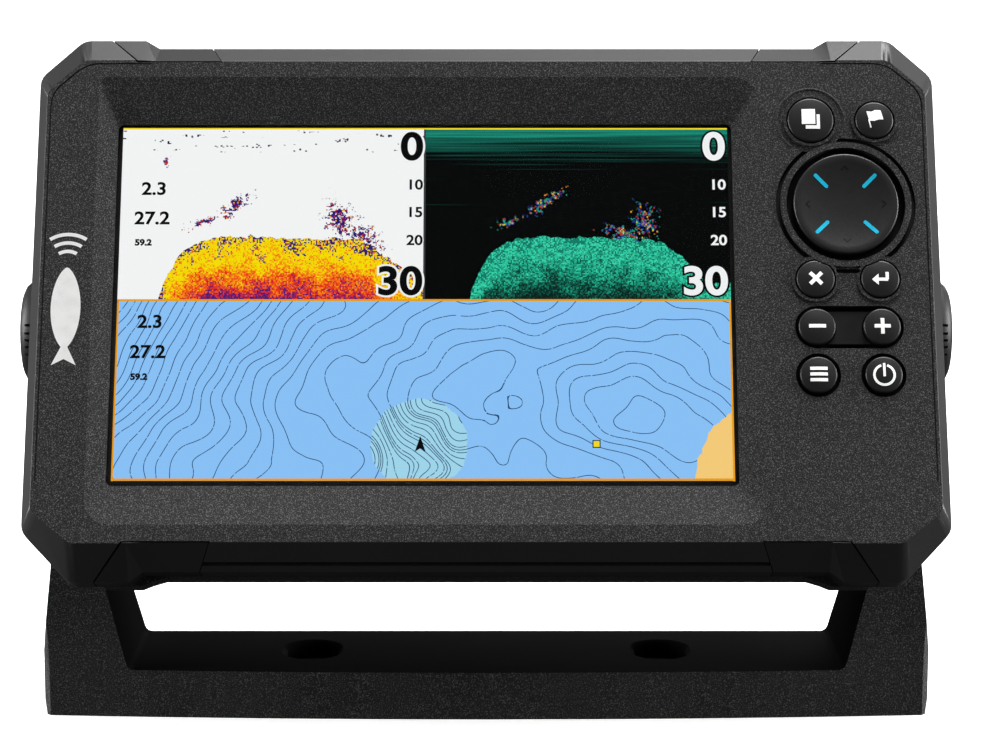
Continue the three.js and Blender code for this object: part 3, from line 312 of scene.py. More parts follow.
slotFinish = {
    "housing_black": "sparkErodedAbs", "bracket_black": "grainedNylon", "trim_satin": "satinAbs",
    "key_rubber": "coatedSilicone", "knob_plastic": "glassFilledNylon", "seal_rubber": "sealRubber",
    "socket_plastic": "glassFilledNylon", "cover_glass": "coatedCoverGlass",
    "display_panel": "blackMaskInk", "light_guide": "whitePolycarbonate",
    "circuit_board": "solderMaskBoard", "flex_film": "polyimideFilm", "steel": "platedSteel",
    "brass": "turnedBrass", "sheet_metal": "tinnedSheet", "antenna_ceramic": "firedCeramic",
}
nodeSlot = {part["node"]: part["material_slot"] for part in frame["record"]["subparts"]}
nodeBody = {node: body for body, nodes in frame["record"]["behaviour"]["bodies"].items()
            for node in nodes}
for node, piece in frame["nodes"].items():
    piece.data.materials.clear()
    piece.data.materials.append(materials[slotFinish[nodeSlot[node]]])
    for face in piece.data.polygons:
        face.material_index = 0

# pieces


def addPiece(name, bm, finish, body, place=headPlace, nodes=(), slot=None, smooth=32, others=(),
             weighted=False, crease=None):
    bm.edges.index_update()
    creased = [edge.index for edge in bm.edges if crease and crease(edge)]
    bmesh.ops.transform(bm, matrix=place, verts=bm.verts)
    mesh = bpy.data.meshes.new(name)
    bm.to_mesh(mesh)
    bm.free()
    for each in (finish, *others):
        mesh.materials.append(materials[each])
    for face in mesh.polygons:
        face.use_smooth = True
    mesh.set_sharp_from_angle(angle=math.radians(smooth))
    for index in creased:
        mesh.edges[index].use_edge_sharp = True
    piece = bpy.data.objects.new(name, mesh)
    scene.collection.objects.link(piece)
    if weighted:
        piece.modifiers.new("weighted_normals", "WEIGHTED_NORMAL").keep_sharp = True
    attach(piece, body)
    if nodes:
        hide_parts(*nodes)
        slot = slot or nodeSlot[nodes[0]]
    return piece


def mergedCopy(node):  # a CAD node's shape in the head's millimetres, its loose triangles joined up
    bm = bmesh.new()
    bm.from_mesh(frame["nodes"][node].data)
    bmesh.ops.transform(bm, matrix=toHead, verts=bm.verts)
    bmesh.ops.remove_doubles(bm, verts=bm.verts, dist=0.004)
    bmesh.ops.dissolve_limit(bm, angle_limit=math.radians(0.6), verts=bm.verts, edges=bm.edges)
    return bm


crispTurn = 22  # degrees: a fold sharper than this gets a rounding


def roundEdges(bm, width, least, segments=2, test=None):
    bm.normal_update()
    chosen = [edge for edge in bm.edges
              if len(edge.link_faces) == 2 and edge.calc_length() > least
              and edge.calc_face_angle() > math.radians(crispTurn)
              and (test is None or test(edge))]
    bmesh.ops.bevel(bm, geom=chosen, offset=width, offset_type="OFFSET", segments=segments,
                    profile=0.5, affect="EDGES", material=-1, clamp_overlap=True)
    return len(chosen)


recessBox = (-98.3, 68.9, -57.0, 59.3)  # left, right, bottom, top of the sloped surround, in mm
keypadBox = (71.0, 108.5, -26.0, 55.0)
frameLevel = {
    # mm over the face: below these a face is in a slot, so it gets the near-black painted shade
    "keySlots": -0.1,
    "surroundFoot": -2.45,
    # the shadow slot under the frame: its two levels, its top and its half width
    "slotLow": -6.2, "slotHigh": -5.0, "slotTop": -58, "slotHalf": 79,
    "facing": 0.93,  # a face that looks forward less than this is one of the slopes
}


def inside(spot, box):
    return box[0] < spot.x < box[1] and box[2] < spot.y < box[3]


def frameZone(face):  # which finish a face of the front frame gets; faces deep in the slots get the painted shade
    spot = face.calc_center_median()
    if inside(spot, keypadBox):
        return 2 if spot.z < frameLevel["keySlots"] else 0
    if inside(spot, recessBox):
        return 2 if spot.z < frameLevel["surroundFoot"] else 0
    inSlot = frameLevel["slotLow"] < spot.z < frameLevel["slotHigh"] and abs(spot.x) < frameLevel["slotHalf"]
    if inSlot and spot.y < frameLevel["slotTop"]:
        return 2
    return 1 if face.normal.z < frameLevel["facing"] else 0


def recessCrease(edge):  # the shallow folds of the sloped surround stay crisp
    middle = (edge.verts[0].co + edge.verts[1].co) / 2
    return (len(edge.link_faces) == 2 and inside(middle, recessBox)
            and edge.calc_face_angle() > math.radians(8))


def bracketZone(face):  # grained outside, front and back; smooth inside, on top and in the screw slots, where the near-black painted shade goes
    facing = headTurn @ face.normal
    spot = headPlace @ face.calc_center_median()
    outwards = facing.x * math.copysign(1, spot.x) > 0.4
    inSlot = abs(spot.x) < 90 * mm and abs(spot.y) < 12 * mm
    return 0 if (abs(facing.y) > 0.5 or outwards) and not inSlot else 1


headTurn = headPlace.to_3x3().normalized()
softened = {
    # node: width of the rounding and the shortest edge that gets one, in mm
    "mounting_bracket": (0.7, 2.0),
    "rear_housing": (0.35, 1.5),
    "front_frame": (0.25, 1.5),
    "top_left_trim": (0.2, 1.0),
    "top_right_trim": (0.2, 1.0),
    "bottom_left_trim": (0.2, 1.0),
    "bottom_right_trim": (0.2, 1.0),
    "card_door": (0.3, 1.0),
    "power_socket_nut": (0.3, 1.0),
    "sonar_socket_nut": (0.3, 1.0),
    "zoom_bridge": (0.2, 0.6),
}
outlineRounding = 0.6  # mm, broader than the frame's other edges
zones = {
    # the frame's finish 2 is the painted shade of its slots and grooves
    "front_frame": (frameZone, ("polishedSlopeAbs", "slotPaintedShadeAbs")),
    # the bracket's finish 1 is smooth nylon with painted shade on its inner faces, base top and slots
    "mounting_bracket": (bracketZone, ("smoothNylonPaintedShade",)),
}


def onOutline(edge):  # the long edges round the face, which get a broader rounding
    middle = (edge.verts[0].co + edge.verts[1].co) / 2
    return all(vert.co.z > -0.05 for vert in edge.verts) and not (
        inside(middle, recessBox) or inside(middle, keypadBox))


def cutGroove(bm, path, width, depth, finishIndex):  # cuts a fine groove along a path on the face
    tool = bmesh.new()
    rails = []
    for i, spot in enumerate(path):
        along = (Vector(path[min(i + 1, len(path) - 1)]) - Vector(path[max(i - 1, 0)])).normalized()
        side = Vector((-along.y, along.x)) * width / 2
        rails.append([tool.verts.new((spot[0] + sign * side.x, spot[1] + sign * side.y, -depth))
                      for sign in (1, -1)])
    for (a, b), (c, d) in zip(rails, rails[1:]):
        tool.faces.new((a, b, d, c))
    raised = bmesh.ops.extrude_face_region(tool, geom=list(tool.faces))["geom"]
    bmesh.ops.translate(tool, vec=(0, 0, depth + 1),
                        verts=[part for part in raised if isinstance(part, bmesh.types.BMVert)])
    bmesh.ops.recalc_face_normals(tool, faces=tool.faces)
    for face in tool.faces:
        face.material_index = finishIndex
    pair = []
    for name, source in (("grooved", bm), ("groove_tool", tool)):
        mesh = bpy.data.meshes.new(name)
        source.to_mesh(mesh)
        source.free()
        for each in range(finishIndex + 1):
            mesh.materials.append(None)
        pair.append(bpy.data.objects.new(name, mesh))
        scene.collection.objects.link(pair[-1])
    cut = pair[0].modifiers.new("cut", "BOOLEAN")
    cut.operation = "DIFFERENCE"
    cut.solver = "EXACT"
    cut.object = pair[1]
    bpy.context.view_layer.update()
    result = bpy.data.meshes.new_from_object(pair[0].evaluated_get(bpy.context.evaluated_depsgraph_get()))
    grooved = bmesh.new()
    grooved.from_mesh(result)
    for piece in pair:
        bpy.data.objects.remove(piece)
    return grooved


faceGroove = {"inset": 1.0, "width": 0.34, "depth": 0.3, "foot": -46, "topEnd": 85}
faceEdge = {"half": 111.2, "top": 63.6, "cutX": 9.2, "cutY": 8.3, "soft": 3.5}


def groovePath(side):
    right = faceEdge["half"] - faceGroove["inset"]
    top = faceEdge["top"] - faceGroove["inset"]
    cutX, cutY = faceEdge["cutX"] - 0.4, faceEdge["cutY"] - 0.4
    corners = [(right, top - cutY), (right - cutX, top)]
    path = [Vector((right, faceGroove["foot"]))]
    for before, corner, after in ((path[0], corners[0], corners[1]),
                                  (corners[0], corners[1], (faceGroove["topEnd"], top))):
        first, turn, last = Vector(before), Vector(corner), Vector(after)
        start = turn + (first - turn).normalized() * faceEdge["soft"]
        end = turn + (last - turn).normalized() * faceEdge["soft"]
        for i in range(7):
            share = i / 6
            path.append(start.lerp(turn, share).lerp(turn.lerp(end, share), share))
    path.append(Vector((faceGroove["topEnd"], top)))
    return [(side * spot.x, spot.y) for spot in path]


# the bowed base stands a little proud of the straight arms: its shoulder is eased into their fronts
shoulder = {"across": 93.6, "front": -19.0, "level": 17.0, "ease": 14.0}


def easeShoulder(bm):
    for side in (-1, 1):
        spot = toHead @ (Vector((side * shoulder["across"], shoulder["front"], shoulder["level"])) / 1000)
        corner = min(bm.verts, key=lambda vert: (vert.co - spot).length)
        above = max((edge.other_vert(corner) for edge in corner.link_edges),
                    key=lambda vert: (headPlace @ vert.co).z)
        corner.co = corner.co.lerp(above.co, shoulder["ease"] / (above.co - corner.co).length)


for node, (width, least) in softened.items():
    bm = mergedCopy(node)
    if node == "mounting_bracket":
        easeShoulder(bm)
    if node == "front_frame":
        roundEdges(bm, outlineRounding, least, 3, onOutline)
    count = roundEdges(bm, width, least)
    bm.normal_update()
    zone, others = zones.get(node, (None, ()))
    if zone:
        for face in bm.faces:
            face.material_index = zone(face)
    if node == "front_frame":
        for side in (-1, 1):
            # the grooves' walls and floor get finish 2, the painted shade
            bm = cutGroove(bm, groovePath(side), faceGroove["width"], faceGroove["depth"], 2)
    print("softened", node, count, "edges", len(bm.faces), "faces")
    addPiece(node + "_shell", bm, slotFinish[nodeSlot[node]], nodeBody[node], nodes=[node], others=others,
             weighted=True, crease=recessCrease if node == "front_frame" else None)

# a low ridge on the face runs round the pages key
ridge = {"radius": 8.5, "tube": 0.42, "sunk": 0.22, "start": -28, "sweep": 262}
bm = bmesh.new()
ringVerts = bmesh.ops.create_circle(bm, segments=10, radius=ridge["tube"])["verts"]
bmesh.ops.rotate(bm, cent=(0, 0, 0), matrix=Matrix.Rotation(math.pi / 2, 3, "X"), verts=ringVerts)
bmesh.ops.translate(bm, vec=(ridge["radius"], 0, -ridge["sunk"]), verts=ringVerts)
bmesh.ops.rotate(bm, cent=(0, 0, 0), matrix=Matrix.Rotation(math.radians(ridge["start"]), 3, "Z"),
                 verts=ringVerts)
bmesh.ops.spin(bm, geom=list(bm.verts) + list(bm.edges), cent=(0, 0, 0), axis=(0, 0, 1),
               angle=math.radians(ridge["sweep"]), steps=90)
bmesh.ops.contextual_create(bm, geom=[edge for edge in bm.edges if edge.is_boundary])
bmesh.ops.recalc_face_normals(bm, faces=bm.faces)
pagesMiddle = headCentre("pages_key")
bmesh.ops.translate(bm, vec=(pagesMiddle.x, pagesMiddle.y, 0), verts=bm.verts)
addPiece("pages_ridge", bm, "sparkErodedAbs", "head", slot=nodeSlot["front_frame"], smooth=60)

# keys

keyShape = {
    "top": 0.8,  # mm over the face
    "dome": 0.45,
    "edge": 0.5,  # rounding of the rim
    "flangeTop": -3.0,
    "flangeBottom": -3.8,
    "flangeReach": 0.9,
    "foot": -4.7,
    "footRadius": 2.0,
    "steps": 72,
}


def spinProfile(points, steps):  # turns [radius, level] points about the third axis into a closed body
    bm = bmesh.new()
    verts = [bm.verts.new((radius, 0, level)) for radius, level in points]
    edges = [bm.edges.new(pair) for pair in zip(verts, verts[1:])]
    bmesh.ops.spin(bm, geom=verts + edges, cent=(0, 0, 0), axis=(0, 0, 1), angle=2 * math.pi,
                   steps=steps, use_merge=True)
    bmesh.ops.remove_doubles(bm, verts=bm.verts, dist=0.001)
    bmesh.ops.recalc_face_normals(bm, faces=bm.faces)
    return bm


def roundCorner(radius, top, size, count=5):  # quarter arc from the top face down to the side
    return [(radius - size + size * math.sin(turn), top - size + size * math.cos(turn))
            for turn in (math.pi / 2 * i / count for i in range(count + 1))]


def domeLevel(radius, reach):
    return keyShape["top"] + keyShape["dome"] * (1 - (radius / reach) ** 2)


def keyProfile(radius):
    reach = radius - keyShape["edge"]
    dome = [(reach * i / 8, domeLevel(reach * i / 8, reach)) for i in range(8)]
    flange = radius + keyShape["flangeReach"]
    return dome + roundCorner(radius, keyShape["top"], keyShape["edge"]) + [
        (radius, keyShape["flangeTop"]), (flange, keyShape["flangeTop"]),
        (flange, keyShape["flangeBottom"]), (keyShape["footRadius"], keyShape["flangeBottom"]),
        (keyShape["footRadius"], keyShape["foot"]), (0, keyShape["foot"])]


keyRadii = {
    "pages_key": 5.8, "waypoint_key": 4.8, "exit_key": 4.75, "enter_key": 4.75,
    "zoom_out_key": 4.6, "zoom_in_key": 4.6, "menu_key": 4.6, "power_key": 4.6,
}
clippedKeys = {"exit_key", "enter_key"}  # their sides make room for the cursor pad's collar
padClip = 17.0
padMiddle = headCentre("cursor_pad")
keyMiddle = {}
for node, radius in keyRadii.items():
    low, high = headBox(node)
    keyMiddle[node] = Vector(((low.x + high.x) / 2, (low.y + high.y) / 2, 0))
# a clipped key lines up with the keys above and below it
keyMiddle["exit_key"].x = keyMiddle["menu_key"].x
keyMiddle["enter_key"].x = keyMiddle["power_key"].x
for node in clippedKeys:
    keyMiddle[node].y = headBox(node)[0].y + keyRadii[node] + keyShape["flangeReach"]

for node, radius in keyRadii.items():
    bm = spinProfile(keyProfile(radius), keyShape["steps"])
    bmesh.ops.translate(bm, vec=keyMiddle[node], verts=bm.verts)
    if node in clippedKeys:
        for vert in bm.verts:
            away = Vector((vert.co.x - padMiddle.x, vert.co.y - padMiddle.y))
            if away.length < padClip:
                away = away.normalized() * padClip
                vert.co.x, vert.co.y = padMiddle.x + away.x, padMiddle.y + away.y
    addPiece(node + "_cap", bm, "coatedSilicone", nodeBody[node], nodes=[node])

# icons: thin ink laid on the keys, cut from bars and arcs
inkThickness = 0.05


def addBar(bm, x, y, length, width, turn=0, cuts=5):
    made = bmesh.ops.create_grid(bm, x_segments=cuts, y_segments=2, size=0.5)["verts"]
    bmesh.ops.scale(bm, vec=(length, width, 1), verts=made)
    bmesh.ops.rotate(bm, cent=(0, 0, 0), matrix=Matrix.Rotation(math.radians(turn), 3, "Z"), verts=made)
    bmesh.ops.translate(bm, vec=(x, y, 0), verts=made)
    return made


def addPatch(bm, corners):
    face = bm.faces.new([bm.verts.new((x, y, 0)) for x, y in corners])
    bmesh.ops.triangulate(bm, faces=[face])


def addArc(bm, x, y, radius, width, start, sweep, steps=40):
    half = width / 2
    verts = [bm.verts.new((radius + side, 0, 0)) for side in (-half, 0, half)]
    edges = [bm.edges.new(pair) for pair in zip(verts, verts[1:])]
    turned = Matrix.Rotation(math.radians(start), 3, "Z")
    bmesh.ops.rotate(bm, cent=(0, 0, 0), matrix=turned, verts=verts)
    before = set(bm.verts) - set(verts)  # what other shapes left there stays where it is
    bmesh.ops.spin(bm, geom=verts + edges, cent=(0, 0, 0), axis=(0, 0, 1), angle=math.radians(sweep),
                   steps=steps, use_merge=False)
    made = [vert for vert in bm.verts if vert not in before]
    bmesh.ops.translate(bm, vec=(x, y, 0), verts=made)


def pagesIcon(bm):
    addBar(bm, -0.6, 0.75, 3.4, 4.0)
    addPatch(bm, [(1.45, 1.3), (2.25, 1.3), (2.25, -2.5), (-1.35, -2.5), (-1.35, -1.6), (1.45, -1.6)])


def flagIcon(bm):
    addPatch(bm, [(-2.0, 2.2), (-0.7, 2.05), (0.2, 2.5), (1.55, 2.45), (2.2, 0), (1.0, -0.05),
                  (-0.1, -0.45), (-1.4, -0.4)])
    addBar(bm, -1.25, -1.1, 2.2, 0.3, -77.5)


def crossIcon(bm):
    addBar(bm, 0, 0, 4.1, 0.95, 45)
    addBar(bm, 0, 0, 4.1, 0.95, -45)


def returnIcon(bm):
    addPatch(bm, [(-2.2, -0.3), (-0.55, 1.15), (-0.55, -1.75)])
    addBar(bm, 0.6, -0.3, 2.4, 0.8)
    addBar(bm, 1.6, 0.65, 0.8, 1.9)


def minusIcon(bm):
    addBar(bm, 0, 0, 4.2, 0.9)


def plusIcon(bm):
    addBar(bm, 0, 0, 4.0, 0.9)
    addBar(bm, 0, 0, 0.9, 4.0)


def menuIcon(bm):
    for level in (-1.45, 0, 1.45):
        addBar(bm, 0, level, 4.3, 0.8)


def powerIcon(bm):
    addArc(bm, 0, -0.2, 2.5, 0.6, 107, 326)
    addBar(bm, 0, 1.1, 0.6, 3.4)


icons = {
    "pages_key": pagesIcon, "waypoint_key": flagIcon, "exit_key": crossIcon,
    "enter_key": returnIcon, "zoom_out_key": minusIcon, "zoom_in_key": plusIcon,
    "menu_key": menuIcon, "power_key": powerIcon,
}


def layInk(bm, level):  # drapes flat shapes over a surface and gives them the ink's thickness
    bmesh.ops.recalc_face_normals(bm, faces=bm.faces)
    for face in bm.faces:
        if face.normal.z < 0:
            face.normal_flip()
    for _ in range(3):
        broad = [edge for edge in bm.edges if edge.calc_length() > 0.7]
        bmesh.ops.subdivide_edges(bm, edges=broad, cuts=1, use_grid_fill=True)
    bmesh.ops.triangulate(bm, faces=bm.faces)
    made = bmesh.ops.extrude_face_region(bm, geom=list(bm.faces))["geom"]
    tops = {part for part in made if isinstance(part, bmesh.types.BMVert)}
    for vert in bm.verts:
        vert.co.z = level(vert.co.x, vert.co.y) + (inkThickness if vert in tops else -inkThickness)
    bmesh.ops.recalc_face_normals(bm, faces=bm.faces)


for node, icon in icons.items():
    reach = keyRadii[node] - keyShape["edge"]
    bm = bmesh.new()
    icon(bm)
    layInk(bm, lambda x, y: domeLevel(math.hypot(x, y), reach))
    bmesh.ops.translate(bm, vec=keyMiddle[node], verts=bm.verts)
    addPiece(node + "_icon", bm, "backlitInk", nodeBody[node])

# a plain fish and sonar arcs in pale ink stand on the left of the face
fishMark = {"x": -104.4, "y": -2.0, "length": 21.0, "width": 7.4, "arcs": (4.2, 6.4, 8.6), "arcWidth": 0.9}
bm = bmesh.new()
outline = []
for i in range(25):
    turn = math.pi * i / 24
    outline.append((fishMark["width"] / 2 * math.sin(turn) ** 1.3, fishMark["length"] / 2 * math.cos(turn)))
addPatch(bm, outline + [(-x, y) for x, y in reversed(outline[1:-1])])
foot = -fishMark["length"] / 2
addPatch(bm, [(0, foot + 2.2), (3.1, foot - 4.2), (0, foot - 2.6), (-3.1, foot - 4.2)])
for radius in fishMark["arcs"]:
    addArc(bm, 0, fishMark["length"] / 2, radius, fishMark["arcWidth"], 58, 64, 16)
layInk(bm, lambda x, y: 0)
bmesh.ops.translate(bm, vec=(fishMark["x"], fishMark["y"], 0), verts=bm.verts)
# the mark's ink carries a painted glow
addPiece("fish_mark", bm, "whiteInkPaintedGlow", "head", smooth=60)
print("keys ready")

# cursor pad

padShape = {
    "radius": 13.15,
    "dish": 11.65,
    "rimTop": 0.95,
    "dishDepth": 1.05,
    "flangeRadius": 15.3,
    "flangeTop": -3.5,
    "flangeBottom": -4.3,
    # the four light dashes: how far out they stand, their length and width
    "dashOut": 8.6, "dashLength": 3.8, "dashWidth": 0.95,
    # the four chevrons: how far out, the spread of their two legs, and half the angle between them
    "chevronOut": 9.5, "chevronSpread": 0.45, "chevronLean": 40,
}


def dishLevel(radius):
    share = min(radius / padShape["dish"], 1)
    return padShape["rimTop"] - padShape["dishDepth"] * (1 - share ** 2.2)


dish = [(padShape["dish"] * i / 20, dishLevel(padShape["dish"] * i / 20)) for i in range(20)]
bm = spinProfile(
    dish + [(padShape["dish"], padShape["rimTop"])]
    + roundCorner(padShape["radius"], padShape["rimTop"] + 0.02, 0.5)
    + [(padShape["radius"], padShape["flangeTop"]), (padShape["flangeRadius"], padShape["flangeTop"]),
       (padShape["flangeRadius"], padShape["flangeBottom"]), (0, padShape["flangeBottom"])], 120)
padSpot = Vector((padMiddle.x, padMiddle.y, 0))
bmesh.ops.translate(bm, vec=padSpot, verts=bm.verts)
addPiece("cursor_pad_cap", bm, "coatedSilicone", "pad", nodes=["cursor_pad"])

bm = bmesh.new()
for quarter in range(4):
    turn = 45 + 90 * quarter
    middle = Vector((padShape["dashOut"], 0)) @ Matrix.Rotation(math.radians(-turn), 2)
    addBar(bm, middle.x, middle.y, padShape["dashLength"], padShape["dashWidth"], turn)
    for end in (-padShape["dashLength"] / 2, padShape["dashLength"] / 2):
        tip = Vector((padShape["dashOut"] + end, 0)) @ Matrix.Rotation(math.radians(-turn), 2)
        made = bmesh.ops.create_circle(bm, cap_ends=True, segments=16,
                                       radius=padShape["dashWidth"] / 2)["verts"]
        bmesh.ops.translate(bm, vec=(tip.x, tip.y, 0), verts=made)
layInk(bm, lambda x, y: dishLevel(math.hypot(x, y)))
bmesh.ops.translate(bm, vec=padSpot, verts=bm.verts)
addPiece("pad_light_dashes", bm, "blueLightPipe", "pad")

bm = bmesh.new()
for quarter in range(4):
    turn = 90 * quarter
    for side in (-1, 1):
        spot = (Vector((padShape["chevronOut"], side * padShape["chevronSpread"]))
                @ Matrix.Rotation(math.radians(-turn), 2))
        addBar(bm, spot.x, spot.y, 1.2, 0.28, turn - side * padShape["chevronLean"])
layInk(bm, lambda x, y: dishLevel(math.hypot(x, y)))
bmesh.ops.translate(bm, vec=padSpot, verts=bm.verts)
addPiece("pad_chevrons", bm, "blackMaskInk", "pad")
print("cursor pad ready")

# clamp knobs

knobShape = {
    "steps": 240,
    "bore": 3.3,  # radius of the hole for the stud, in mm
    "boreEnd": 5,  # mm left under the crown
    "skirtStep": 1.2,  # how much smaller the grip is than the skirt
    # finger grooves, in four groups round the grip
    "besideMiddle": 2,  # grooves on each side of a group's middle one
    "pitch": 8,  # degrees
    "halfWidth": 0.8,  # degrees
    "depth": 0.8,
    "from": 4.8,
    "to": 0.82,  # share of the height
}
for side, sign in (("left", -1), ("right", 1)):
    node = side + "_clamp_knob"
    low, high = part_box(node)
    radius = (high.z - low.z) / 2 / mm
    height = (high.x - low.x) / mm
    seat = high.x if sign < 0 else low.x
    waist = radius - knobShape["skirtStep"]
    bore, boreTop = knobShape["bore"], height - knobShape["boreEnd"]
    profile = [(0, boreTop), (bore, boreTop), (bore, 0), (radius - 1, 0)]
    # the skirt, the neck over it, the grip that draws in, and the crown with its shallow dish
    profile += [(radius, 0.6), (radius, 1.2), (radius, 2.6), (radius - 0.2, 3.1), (waist, 3.9),
                (waist, 4.6), (waist - 0.1, 4.9), (waist - 0.5, 7), (waist - 0.9, height * 0.68),
                (waist - 1.3, height * 0.78), (waist - 1.7, height * 0.84), (waist - 2.4, height * 0.9),
                (waist - 3.6, height - 0.75), (waist - 5.5, height - 0.4), (waist * 0.5, height - 0.25),
                (waist * 0.46, height - 0.6), (waist * 0.2, height - 0.5), (0, height - 0.45)]
    bm = spinProfile(profile, knobShape["steps"])
    for vert in bm.verts:
        turn = math.degrees(math.atan2(vert.co.y, vert.co.x)) % 90
        offset = min(turn, 90 - turn)
        line = offset / knobShape["pitch"]
        nearLine = abs(line - round(line)) * knobShape["pitch"] < knobShape["halfWidth"]
        inGroove = nearLine and round(line) <= knobShape["besideMiddle"]
        out = math.hypot(vert.co.x, vert.co.y)
        if inGroove and knobShape["from"] < vert.co.z < height * knobShape["to"] and out > waist - 2:
            vert.co.x *= 1 - knobShape["depth"] / out
            vert.co.y *= 1 - knobShape["depth"] / out
    place = (Matrix.Translation((seat, 0, (low.z + high.z) / 2))
             @ Matrix.Rotation(sign * math.pi / 2, 4, "Y") @ Matrix.Diagonal((mm, mm, mm, 1)))
    addPiece(node + "_cap", bm, "glassFilledNylon", nodeBody[node], place, nodes=[node], smooth=40)
print("knobs ready")

# picture

picture = {
    "left": -92.3, "right": 61.2, "top": 47.0, "bottom": -44.8,
    "splitX": -15.6,
    "splitY": 1.4,
    "level": -5.12,  # just behind the glass
    "glow": 0.95,
}


def startPicture(name):  # a lit panel: colour goes out as light, seen through the glass
    material, tree, shader, spot = startMaterial(name)
    materials[name] = material
    shader.inputs["Base Color"].default_value = linear("#000000")
    shader.inputs["Roughness"].default_value = 0.5
    shader.inputs["Specular IOR Level"].default_value = 0.0
    shader.inputs["Emission Strength"].default_value = picture["glow"]
    place = addNode(tree, "ShaderNodeMapping", {
        "Vector": spot, "Scale": (1 / mm, 1 / mm, 1 / mm), "Rotation": (-headPlace.to_euler().x, 0, 0),
        "Location": toHead.translation})
    return tree, shader, place


def litLine(name, dim, bright):  # thin lines and marks of one hue, a little uneven as lit cells are
    tree, shader, spot = startPicture(name)
    drift = addNode(tree, "ShaderNodeTexNoise", {"Vector": spot, "Scale": 3.0})
    tint = addNode(tree, "ShaderNodeValToRGB", {"Fac": drift}, [(0.3, dim), (0.7, bright)])
    tree.links.new(tint.outputs["Color"], shader.inputs["Emission Color"])


def addPanel(name, left, right, bottom, top, finish, level, segments=(2, 2)):
    bm = bmesh.new()
    bmesh.ops.create_grid(bm, x_segments=segments[0], y_segments=segments[1], size=0.5)
    bmesh.ops.scale(bm, vec=(right - left, top - bottom, 1), verts=bm.verts)
    bmesh.ops.translate(bm, vec=((left + right) / 2, (bottom + top) / 2, level), verts=bm.verts)
    return addPiece(name, bm, finish, "head", slot="display_panel")


def cells(tree, spot, size, seed):  # a random value for each square cell of the panel
    snapped = addNode(tree, "ShaderNodeVectorMath", {0: spot, 1: (size, size, 1000)}, operation="SNAP")
    moved = addNode(tree, "ShaderNodeVectorMath", {0: snapped, 1: (seed, 0, 0)})
    return addNode(tree, "ShaderNodeTexWhiteNoise", {"Vector": moved})


sonar = {
    "cell": 0.34,  # mm
    "rugged": 3.0,  # mm that the bottom's edge wanders
    "patchy": 0.9,
    "echoFade": -0.22,
    "echoCore": 0.72,
    "echoFrom": 1.2,
}


